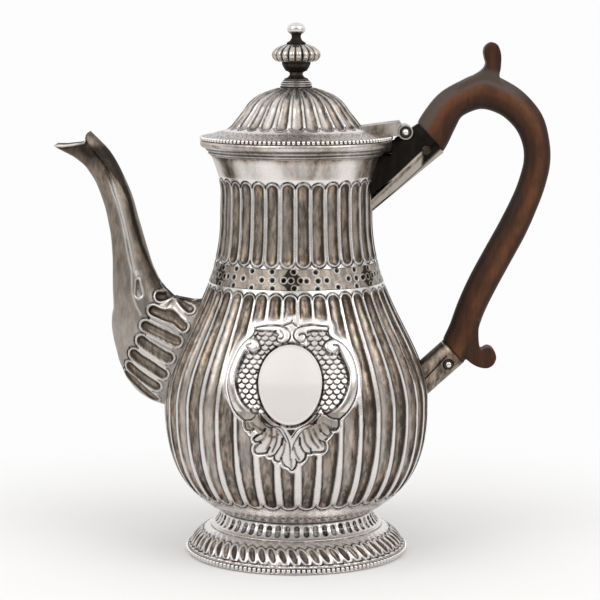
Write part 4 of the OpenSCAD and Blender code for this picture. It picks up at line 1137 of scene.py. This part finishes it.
def spout_marks(points, across):
    """Relief, dirt and lines of the chasing on the spout, mirrored on its far side."""
    near = np.where(points[:, 1:2] > 0, points * [1, -1, 1], points)
    z = near[:, 2]
    flutes = []
    for a, b in np.array(FLUTE_LINES):
        step = 2.3 * (b - a) / np.hypot(*(b - a))
        middle = [a + step + (b - a - 2 * step) * t for t in (0, 0.25, 0.5, 0.75, 1)]
        flutes.append(to_line(near, on_spout([(-BELLY_R - u, BELLY_Z + v) for u, v in middle])))
    far, share_of = np.array(flutes).swapaxes(0, 1)
    nearest = far.min(axis=0)
    start, end = share_of < 0.02, share_of > 0.98
    relief = -1.3 * dome(nearest, 2.5) + 0.3 * bell(nearest - 3.1, 0.5)
    start_caps = smoothstep(np.abs(far - 4.0), 0.7, 0.3) * start
    end_caps = 0.85 * smoothstep(np.abs(far - 3.9), 0.5, 0.15) * end
    line = (start_caps + end_caps).max(axis=0) * smoothstep(nearest, 3.2, 3.5)
    channel = smoothstep(nearest, 2.8, 2.15)

    lean = np.interp(z, [190, 198, 206], [0, 0.5, 1])
    back_half = smoothstep(across, 0.5, 0.62) * smoothstep(z, 120, 150)
    dirt_and_shade = 0.52 - 0.15 * smoothstep(z, 160, 115) + 0.1 * back_half + 0.42 * lean
    first, last = np.interp(z, BACK_HEIGHTS, BACK_START), np.interp(z, BACK_HEIGHTS, BACK_END)
    back = smoothstep(across, first - 0.05, first + 0.03) * smoothstep(across, last + 0.035, last - 0.02)
    warm = smoothstep(across, first - 0.17, first - 0.02) * (across < last) * (z < 192)
    throat = smoothstep(z, 196, 204) * smoothstep(across, 0.16, 0.40)
    dark = np.maximum(back, throat)
    dirt_and_shade = np.maximum(np.maximum(dirt_and_shade, 0.66 * warm), dark)
    line = np.maximum(line, dark * (0.2 + 0.25 * lean))
    last_step = smoothstep(near[:, 0], -106.6, -104.8) * smoothstep(z, 206.0, 210.0)
    dirt_and_shade, line = dirt_and_shade + (0.78 - dirt_and_shade) * last_step, line * (1 - 0.85 * last_step)

    # Painted highlights along the crease and the side crease clear the darkening there.
    crease, beside = to_line(near, on_spout(CREASE))[0], to_line(near, on_spout(SIDE_CREASE))[0]
    on_side = bell(beside, 0.4)
    crease_highlight = np.maximum(bell(crease, 0.62) * (z > 143), 0.85 * on_side) * smoothstep(z, 194, 186)
    relief = relief + 0.5 * bell(crease, 0.6) * (z > 143) + 0.3 * on_side
    between = bell(crease - 1.25, 0.4) * (beside < 2.0) * smoothstep(z, 145, 150)
    top_crease = bell(crease, 0.75) * smoothstep(z, 190, 197)
    line = np.maximum(line, np.maximum(0.75 * between, 0.95 * top_crease))
    relief = relief - 0.3 * between
    dirt_and_shade, line = dirt_and_shade * (1 - 0.95 * crease_highlight), line * (1 - crease_highlight)

    drop, share = to_line(near, on_spout([(-80.0, 140.6), (-79.7, 137.0), (-79.3, 133.8)]))
    wide = 0.7 + 1.1 * share
    relief = relief - 0.9 * dome(drop, wide + 0.2)
    relief = relief + 0.25 * bell(drop - wide - 0.6, 0.35)
    clear = smoothstep(drop, wide + 1.2, wide + 0.3)
    dirt_and_shade, line = dirt_and_shade * (1 - 0.9 * clear), line * (1 - clear)
    line = np.maximum(line, 0.85 * smoothstep(drop, wide + 0.3, wide - 0.4))

    rims = smoothstep(nearest, 4.6, 3.6)
    dirt_and_shade = dirt_and_shade * (1 - 0.9 * rims * (1 - channel))
    # A broader painted highlight round the crease, lower down the stem.
    dirt_and_shade = dirt_and_shade * (1 - 0.45 * bell(crease, 2.6) * smoothstep(z, 195, 180) * (z > 138))
    own_share = share_of[far.argmin(axis=0), np.arange(far.shape[1])]
    ends = smoothstep(own_share, 0.25, 0.0)
    dirt_and_shade = np.maximum(dirt_and_shade, channel * (0.52 + 0.42 * smoothstep(nearest, 0.7, 2.0) + 0.3 * ends))
    line = np.maximum(line, 0.35 * smoothstep(np.abs(nearest - 2.4), 0.5, 0.1))

    edge = lip_height(near[:, 0] - TIP_X) - z
    on_lip = near[:, 0] < -106.0
    rim = smoothstep(edge, 1.3, 0.5) * on_lip
    under_rim = 0.7 * bell(edge - 1.6, 0.4) * on_lip
    dirt_and_shade, line = dirt_and_shade * (1 - rim), np.maximum(line * (1 - rim), under_rim)
    return relief, np.clip(dirt_and_shade, 0, 1), np.clip(line, 0, 1)


flat = outer_skin.reshape(-1, 3)
around = np.tile((1 - np.cos(spout_angles)) / 2, len(outer_skin))
relief, dirt_and_shade, line = spout_marks(flat, around)
flat = flat + relief[:, None] * skin_normals.reshape(-1, 3)
# How far the front of the stem is moved towards the pot, by height.
front_ease = np.interp(flat[:, 2], [84, 99, 104, 112, 120, 135, 146, 155, 163, 180, 190, 195, 199, 205],
                       [0, -0.2, 0.4, 1.1, 1.1, 0.5, 0.6, 0.6, 0.9, 0.5, 0.9, 0.4, 0.5, 0.2])
flat[:, 0] = flat[:, 0] + front_ease * (1 - 2 * around).clip(0)
flat[:, 0] = np.maximum(flat[:, 0] - 1.9 * smoothstep(flat[:, 0], -110, -121), -122.44)
on_shoulder = bell(flat[:, 0] + 62.2, 4.0) * smoothstep(around, 0.4, 0.95)
flat[:, 2] = flat[:, 2] + 3.7 * on_shoulder * smoothstep(flat[:, 2], 108, 126)
n = len(spout_angles)
shell = np.vstack([flat, inner_skin.reshape(-1, 3)])
faces = grid_faces(len(outer_skin) + len(inner_skin), n)
last_row = (len(outer_skin) + len(inner_skin) - 1) * n
bridge = np.array([[last_row + j, last_row + (j + 1) % n, (j + 1) % n, j] for j in range(n)])
spout = put("chased_spout", shell, np.vstack([faces, bridge]), "spout_silver", "pot", marked_dark_silver,
    ("spout_near_half", "spout_far_half"))
set_values(spout, "dirt_and_shade", np.r_[dirt_and_shade, np.full(inner_skin.shape[0] * n, 0.8)])
set_values(spout, "line", np.r_[line, np.full(inner_skin.shape[0] * n, 0.3)])
recalculated(spout)

# ---------------------------------------------------------------- handle

def wood_material():
    paint = Paint("brown wood")
    grain = paint.noise(3.4, 3.0, 0.6, vector=paint.stretch((1, 1, 0.12)))
    fine = paint.noise(0.6, 2.0, 0.6, vector=paint.stretch((1, 1, 0.08)), seed=4.0)
    patch = paint.noise(11, 2.0, seed=6.0)
    # Painted light across the grip's section: a lighter highlight stripe, painted shade along the inner edge
    # and along the outer rim, and a grey painted sheen on the top chamfer.
    side = paint.attribute("across")
    colour = paint.mix(paint.ramp(grain, 0.3, 0.7), (0.026, 0.0092, 0.0038), (0.062, 0.021, 0.008))
    highlight_stripe = paint.ramp(side, -0.35, 0.15) * paint.ramp(side, 0.75, 0.3)
    colour = paint.mix(highlight_stripe * (paint.ramp(patch, 0.3, 0.62) * 0.45 + 0.2), colour, (0.14, 0.052, 0.02))
    colour = paint.mix(paint.ramp(fine, 0.45, 0.8) * 0.4, colour, (0.018, 0.0078, 0.004))
    colour = paint.mix(paint.ramp(side, -0.25, -0.92) * 0.82, colour, (0.012, 0.0056, 0.0032))
    colour = paint.mix(paint.ramp(side, 0.5, 0.9) * paint.ramp(side, 1.5, 1.1) * 0.55, colour,
        (0.026, 0.014, 0.009))
    colour = paint.mix(paint.attribute("wear_and_sheen") * 0.75, colour, (0.080, 0.062, 0.052))
    return paint.finish(base_color=colour, roughness=fine * 0.2 + 0.42, specular_ior_level=0.2,
        normal=paint.bump(fine, 0.1))


wood = wood_material()
# Mouths of the upper and the lower socket, and the way both run out.
TOP, LOW = (67.8, 212.0), (80.1, 102.9)
OUT_X, OUT_Z = 0.743, 0.669
# How far back from a socket's mouth, and below its middle line, its pin sits.
PIN_BACK, PIN_LOW = 5.8, 2.3
# A place on the lower edge of the upper socket, and the way up from that edge.
EDGE_X, EDGE_Z, UP_X, UP_Z = 72.6, 204.7, -0.692, 0.721
GRIP_TOP = [(0, 0, 9.5), (4.1, 8.2, 9), (9.6, 16.1, 8.2), (17.6, 20.9, 8.2), (26.2, 23.4, 9),
    (34.8, 20.9, 8.4), (42.6, 16, 7.9), (49.7, 7.7, 7.5), (53.2, -2.4, 6.8), (53.8, -12, 6.7)]
GRIP_LOW = [(39.5, 87.6, 6.8), (36.2, 78.1, 6.9), (29.8, 63.9, 7.3), (21.9, 49.1, 7.4), (14.5, 35.1, 7.4),
    (8.9, 22.8, 7.2), (4.6, 10.6, 7.25), (0, 0, 7.7)]
# Outer edge of the grip's section, in its upper and in its lower part.
CHAMFERED = [(1.0, 0.0), (1.0, 0.30), (0.93, 0.46), (0.62, 0.72), (0.26, 0.97), (0.16, 1.0), (0.06, 0.985)]
ROUNDED = [(1.0, 0.0), (1.0, 0.34), (0.96, 0.52), (0.80, 0.78), (0.52, 0.96), (0.28, 1.0), (0.06, 0.985)]


def grip_section(top, count=56):
    """Outline of the grip's section as (depth, width), from -1 to 1: a top edge over a full side."""
    side = joined(top, curve((0.06, 0.985), (-0.45, 0.97), (-0.95, 0.68), (-1.0, 0.0), 18))
    ring = np.vstack([side, side[::-1][1:-1] * [1, -1]])
    whole = np.vstack([ring, ring[:1]])
    return resampled(whole, np.linspace(0, along(whole)[-1], count, endpoint=False))


def grip_path():
    """The grip's middle line with its depths, and the way it runs."""
    stations = [(TOP[0] + x, TOP[1] + z, d) for x, z, d in GRIP_TOP]
    stations += [(LOW[0] + x, LOW[1] + z, d) for x, z, d in GRIP_LOW]
    path = through(stations, 10)
    way = np.gradient(path[:, :2], axis=0)
    slope = math.radians(42)
    way /= np.linalg.norm(way, axis=1)[:, None]
    out_of_socket = np.array([math.cos(slope), math.sin(slope)])
    for k in range(10):
        t = (1 - k / 10) ** 2
        for i, end in ((k, out_of_socket), (len(path) - 1 - k, -out_of_socket)):
            way[i] = (1 - t) * way[i] + t * end
            way[i] /= np.linalg.norm(way[i])
    return path, way


def make_grip():
    path, way = grip_path()
    share = smoothstep(along(path[:, :2]), 62, 84)[:, None, None]
    section = grip_section(CHAMFERED) * (1 - share) + grip_section(ROUNDED) * share
    u, w = path[:, 2:3] * section[:, :, 0], path[:, 2:3] * 0.86 * section[:, :, 1]
    points = np.stack([path[:, 0:1] - u * way[:, 1:2], w, path[:, 1:2] + u * way[:, 0:1]], -1)
    return put("grip", points.reshape(-1, 3), capped(*u.shape), "handle_wood", "pot", wood)


def slab(name, outline, width, bevel, at):
    """A rounded bar across the handle with the given side view."""
    ring = through(list(outline) + [outline[0]], 5)[:-1] + at
    n = len(ring)
    points = np.array([(x, side * (width / 2 - 0.001), z) for side in (-1, 1) for x, z in ring])
    sides = [[i, (i + 1) % n, n + (i + 1) % n, n + i] for i in range(n)]
    faces = [list(range(n)), list(range(2 * n - 1, n - 1, -1))] + sides
    piece = put(name, points, faces, "handle_wood", "pot", wood)
    recalculated(piece)
    made = piece.modifiers.new("bevel", "BEVEL")
    made.width, made.segments, made.limit_method, made.angle_limit = bevel * MM, 5, "ANGLE", math.radians(50)
    bpy.ops.object.modifier_apply(modifier="bevel")
    return piece


grip = make_grip()
recalculated(grip)
thumb = slab("thumb_scroll", [(13.7, 27.6), (20.8, 31.2), (25.7, 34.3), (27.4, 37.4), (26.7, 40.1),
    (26.2, 43.6), (27.3, 46.4), (30.1, 48.1), (32.9, 46.9), (34.4, 44.0), (35.0, 40.1), (34.7, 35.0),
    (34.2, 30.8), (36.5, 25.0), (30.0, 20.0), (20.0, 23.0), (12.0, 22.0)], 11.0, 1.8, TOP)
curl = slab("curl", [(0.5, 4.5), (2.4, 0.8), (5.2, -2.1), (9.1, -5.5), (13.1, -7.5), (17.2, -8.0),
    (20.0, -6.5), (21.5, -4.1), (21.7, -1.6), (20.6, 1.3), (18.6, 2.7), (16.5, 2.6), (15.0, 1.6),
    (13.8, 1.9), (13.1, 3.8), (12.7, 7.1), (12.6, 11.7), (13.0, 16.8), (8.0, 17.0), (3.5, 10.0)], 12.4, 2.6,
    LOW)
for piece in (thumb, curl, grip):
    piece.select_set(True)
bpy.context.view_layer.objects.active = grip
bpy.ops.object.join()
fuse = grip.modifiers.new("fuse", "REMESH")
fuse.mode, fuse.voxel_size = "VOXEL", 0.00055
bpy.ops.object.modifier_apply(modifier="fuse")
ease = grip.modifiers.new("ease", "SMOOTH")
ease.factor, ease.iterations = 0.5, 3
bpy.ops.object.modifier_apply(modifier="ease")
grip.name = "wooden_grip"
path, way = grip_path()
points = points_of(grip)
beside = points[:, None, [0, 2]] - path[None, :, :2]
nearest = np.argmin(np.hypot(beside[:, :, 0], beside[:, :, 1]), axis=1)
beside = beside[np.arange(len(points)), nearest]
side = (beside[:, 1] * way[nearest, 0] - beside[:, 0] * way[nearest, 1]) / path[nearest, 2]
set_values(grip, "across", side)
# The grey strip on the top chamfer, towards the upper end, is a painted sheen.
near_top = smoothstep(along(path[:, :2])[nearest], 60, 48)
set_values(grip, "wear_and_sheen", smoothstep(side, 0.32, 0.5) * smoothstep(side, 1.4, 1.05) * near_top)
dress(grip, "pot", wood, ("handle",))

# ---------------------------------------------------------------- nodes that keep their shape

def band_between(paint, value, start, end, soft=0.3):
    """1 between two values, with soft ends."""
    return paint.ramp(value, start - soft, start + soft) * paint.ramp(value, end + soft, end - soft)


def from_edge(paint):
    """How far a place lies above the lower edge of the upper socket."""
    x, _, z = paint.place()
    return (x - EDGE_X) * UP_X + (z - EDGE_Z) * UP_Z


def upper_socket_dark(paint):
    x = paint.place()[0]
    up = from_edge(paint)
    top = paint.ramp(up, 7.3, 8.0)
    return paint.math("MAXIMUM", top, paint.ramp(x, 62.3, 64.6) * paint.ramp(up, 1.5, 2.1))


# Darker over the socket's dark top and in a band a little above its lower edge.
def upper_socket_darkening(paint):
    up = from_edge(paint)
    return upper_socket_dark(paint) * 0.55 + band_between(paint, up, 5.0, 6.5) * 0.38 + 0.2


def upper_socket_lines(paint):
    thin = band_between(paint, from_edge(paint), 1.2, 1.7, 0.15)
    return paint.math("MAXIMUM", upper_socket_dark(paint) * 0.95, thin * 0.92)


def low_socket_place(paint):
    """Up across the lower socket from its middle line, and out along it from its mouth."""
    x, _, z = paint.place()
    x, z = x - LOW[0], z - LOW[1]
    return x * -OUT_Z + z * OUT_X, x * OUT_X + z * OUT_Z


# Darker along the socket's top and its lower part and towards its mouth, lighter in a narrow band behind the
# mouth on its upper side.
def low_socket_darkening(paint):
    up, out = low_socket_place(paint)
    ring = band_between(paint, out, -1.2, -0.7, 0.15) * paint.ramp(up, 0.5, 1.5)
    dirt_and_shade = paint.ramp(up, 5.4, 6.4) * 0.5 + paint.ramp(up, 2.6, 2.0) * 0.22
    dirt_and_shade = dirt_and_shade + paint.ramp(out, -4.0, -1.0) * 0.2 + 0.42
    return dirt_and_shade * (1 - ring)


def low_socket_lines(paint):
    up, out = low_socket_place(paint)
    slot = band_between(paint, up - out * 0.092, 1.55, 2.35, 0.2) * paint.ramp(out, -3.0, -3.6)
    pin = paint.math("SQRT", (up + PIN_LOW) * (up + PIN_LOW) + (out + PIN_BACK) * (out + PIN_BACK))
    return paint.math("MAXIMUM", slot * 0.9, paint.ramp(pin, 3.3, 2.6) * 0.9)


def cloudy(paint):
    return paint.ramp(paint.noise(6, 3.0), 0.3, 0.8) * 0.5 + 0.2


HINGE_X, HINGE_Z = [float((a + b) / 2 / MM) for a, b in zip(*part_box("hinge_pin"))][::2]


def from_hinge(paint):
    x, _, z = paint.place()
    return paint.math("SQRT", (x - HINGE_X) * (x - HINGE_X) + (z - HINGE_Z) * (z - HINGE_Z))


def hinge_lines(paint):
    return band_between(paint, from_hinge(paint), 1.75, 3.1, 0.15) * 0.93


upper_socket_silver = silver("upper socket silver", upper_socket_darkening, upper_socket_lines,
    tone=(0.50, 0.465, 0.42), rough=0.4, metal=lambda paint: upper_socket_dark(paint) * 0.8 + 0.12)
low_socket_silver = silver("lower socket silver", low_socket_darkening, low_socket_lines, tone=(0.46, 0.41,
    0.36), rough=0.34)
hinge_silver = silver("hinge silver", lambda paint: 0.25, hinge_lines, tone=(0.66, 0.63, 0.60), rough=0.3)
leaf_silver = silver("leaf silver", cloudy, tone=(0.62, 0.58, 0.55), rough=0.34)
for node, material in (
        ("upper_handle_socket", upper_socket_silver), ("lower_handle_socket", low_socket_silver),
        ("near_hinge_knuckle", hinge_silver), ("far_hinge_knuckle", hinge_silver),
        ("hinge_pin", polished), ("lid_hinge_knuckle", hinge_silver), ("lid_hinge_leaf", leaf_silver),
        ("lid_bezel", plain), ("finial_stud", inner_silver), ("finial_nut", inner_silver),
        ("upper_handle_pin", dark_silver), ("lower_handle_pin", dark_silver)):
    coat(bpy.data.objects[node], material)


def pin_cap(name, node, mouth, shape):
    """A ring or a ball on each end of a handle pin."""
    low, high = [np.array(corner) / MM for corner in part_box(node)]
    if shape == "ring":
        bpy.ops.mesh.primitive_torus_add(major_radius=1.85 * MM, minor_radius=0.4 * MM, major_segments=36,
            minor_segments=10, rotation=(math.pi / 2, 0, 0))
    else:
        bpy.ops.mesh.primitive_uv_sphere_add(segments=24, ring_count=12, radius=1.45 * MM)
        bpy.ops.transform.resize(value=(1, 0.55, 1))
    bpy.ops.object.transform_apply(location=False, rotation=True, scale=True)
    one = bpy.context.object
    points, faces = points_of(one), [list(f.vertices) for f in one.data.polygons]
    bpy.data.objects.remove(one)
    x, z = (mouth[0] - PIN_BACK * OUT_X + PIN_LOW * OUT_Z, mouth[1] - PIN_BACK * OUT_Z - PIN_LOW * OUT_X)
    both = np.vstack([points + [x, y, z] for y in (low[1], high[1])])
    material = dark_silver if shape == "ring" else polished
    put(name, both, faces + [[i + len(points) for i in f] for f in faces], "pin_silver", "pot", material)


def socket_fillet():
    """Solder that fills the corner between the mouth moulding and the upper socket, made dark as painted
    shade in that corner.
    """
    section = [(43.4, 203.5), (44.6, 203.2), (46.5, 203.4), (49.2, 205.6), (51.0, 208.4), (49.4, 209.2),
        (46.0, 209.2), (44.0, 207.0)]
    angles = np.radians(np.linspace(81.5, 98.5, 9))
    points = [(r * math.sin(a), -r * math.cos(a), z) for a in angles for r, z in section]
    recalculated(put("socket_fillet", points, capped(len(angles), len(section)), "socket_silver", "pot",
        dark_silver))


def socket_sleeve():
    """A closed skin a hair outside the lower side of the upper socket, whose bore shows through there."""
    corner, step = np.radians(22.5), np.radians(45 * np.arange(8))
    across, over = 10.43 * np.cos(step + corner), 10.43 * np.sin(step + corner)
    mouth = [(TOP[0] + OUT_Z * a - 0.3, b, TOP[1] - OUT_X * a - 0.27) for a, b in zip(across, over)]
    tall, wide = 17.15 * np.cos(step), 9.65 * np.sin(step)
    c, s = math.cos(corner), math.sin(corner)
    tall, wide = tall * c - wide * s, tall * s + wide * c
    neck_end = [(34.4, b, 187 - a) for a, b in zip(tall, wide)]
    piece = put("socket_sleeve", mouth + neck_end, [], "socket_silver", "pot", upper_socket_silver)
    select_only(piece)
    bpy.ops.object.mode_set(mode="EDIT")
    bpy.ops.mesh.select_all(action="SELECT")
    bpy.ops.mesh.convex_hull()
    top = EDGE_X + UP_X * 6.9, 0, EDGE_Z + UP_Z * 6.9
    for place, way in ((top, (UP_X, 0, UP_Z)), ((37.4, 0, 0), (-1, 0, 0))):
        bpy.ops.mesh.select_all(action="SELECT")
        bpy.ops.mesh.bisect(plane_co=[MM * c for c in place], plane_no=way, clear_outer=True, use_fill=True)
    bpy.ops.object.mode_set(mode="OBJECT")
    piece.data.shade_flat()


socket_fillet()
socket_sleeve()
pin_cap("upper_pin_rings", "upper_handle_pin", TOP, "ring")
pin_cap("lower_pin_caps", "lower_handle_pin", LOW, "ball")

# ---------------------------------------------------------------- stage, light and camera

def mix_shaders(paint, share, one, other):
    made = paint.nodes.new("ShaderNodeMixShader")
    for index, value in enumerate((share, one, other)):
        paint.plug(made.inputs[index], value)
    return Value(paint, made.outputs[0])


def stage_material():
    """A white floor that keeps soft shadows and fades into the white background."""
    paint = Paint("white floor")
    path = paint.nodes.new("ShaderNodeLightPath")
    camera_ray = Value(paint, path.outputs["Is Camera Ray"])
    diffuse = paint.node("ShaderNodeBsdfDiffuse", {"Color": (0.80, 0.80, 0.80, 1)})
    white = paint.node("ShaderNodeEmission", {"Color": (0.98, 0.98, 0.98, 1), "Strength": 1.0})
    x, y, _ = paint.place()
    away = paint.math("SQRT", x * x + y * y)
    fade = paint.ramp(away, 95.0, 330.0) * camera_ray
    output = paint.nodes.new("ShaderNodeOutputMaterial")
    paint.plug(output.inputs["Surface"], mix_shaders(paint, fade, diffuse, white))
    return paint.material


def make_stage():
    bpy.ops.mesh.primitive_plane_add(size=6, location=(0, 0, 0))
    floor = bpy.context.object
    floor.name = "floor"
    bpy.ops.transform.translate(value=(0, 0, -0.0002))
    floor.data.materials.append(stage_material())


def lamp(name, place, power):
    """A round lamp that shines at the middle of the pot."""
    light = bpy.data.lights.new(name, "AREA")
    light.shape = "DISK"
    light.size = 1.2
    light.energy = power
    made = bpy.data.objects.new(name, light)
    bpy.context.scene.collection.objects.link(made)
    made.location = place
    way = np.array((0, 0, 0.12)) - np.array(place)
    tilt = math.acos(-way[2] / np.linalg.norm(way))
    made.rotation_euler = (tilt, 0, math.atan2(way[1], way[0]) - math.pi / 2)


def make_world():
    """Seen directly, or mirrored from behind the pot, the background is white. The silver mirrors
    a room that darkens downwards and behind the camera."""
    world = bpy.data.worlds.new("studio")
    bpy.context.scene.world = world
    world.use_nodes = True
    tree = world.node_tree
    tree.nodes.clear()
    link = tree.links.new

    def added(kind, inputs):
        """A new node with sockets linked and plain values set."""
        made = tree.nodes.new(kind)
        for key, value in inputs.items():
            if isinstance(value, bpy.types.NodeSocket):
                link(value, made.inputs[key])
            else:
                made.inputs[key].default_value = value
        return made

    def ramp(socket, start, end, low, high):
        made = added("ShaderNodeMapRange", {"Value": socket, "From Min": start, "From Max": end,
                                            "To Min": low, "To Max": high})
        made.interpolation_type = "SMOOTHSTEP"
        return made.outputs[0]

    def join(how, one, other):
        made = added("ShaderNodeMath", {0: one, 1: other})
        made.operation = how
        return made.outputs[0]

    coords = added("ShaderNodeTexCoord", {})
    _, y, z = added("ShaderNodeSeparateXYZ", {0: coords.outputs["Generated"]}).outputs
    room = join("MULTIPLY", ramp(z, -0.3, 0.7, 0.31, 0.97), ramp(y, -0.70, -0.99, 1.0, 0.62))
    mirrored = added("ShaderNodeBackground", {"Color": (1, 0.985, 0.97, 1), "Strength": room})
    seen = added("ShaderNodeBackground", {"Color": (0.98, 0.98, 0.98, 1)})
    path = added("ShaderNodeLightPath", {}).outputs
    shiny = join("MAXIMUM", path["Is Glossy Ray"], path["Is Transmission Ray"])
    white = join("MAXIMUM", path["Is Camera Ray"], join("MULTIPLY", shiny, ramp(y, 0.0, 0.12, 0.0, 1.0)))
    mix = added("ShaderNodeMixShader", {0: white, 1: mirrored.outputs[0], 2: seen.outputs[0]})
    added("ShaderNodeOutputWorld", {"Surface": mix.outputs[0]})


make_stage()
make_world()
lamp("left lamp", (-0.8, -0.7, 1.0), 6.3)
lamp("right lamp", (0.8, -0.7, 1.0), 6.9)

camera_data = bpy.data.cameras.new("camera")
camera_data.lens = 135.36
camera_data.sensor_width = 36
camera = bpy.data.objects.new("camera", camera_data)
bpy.context.scene.collection.objects.link(camera)
camera.location = (0.001888, -1.14, 0.2819)
camera.rotation_euler = (math.pi / 2 - 0.133, 0, 0)
bpy.context.scene.camera = camera
bpy.context.scene.view_settings.view_transform = "Standard"
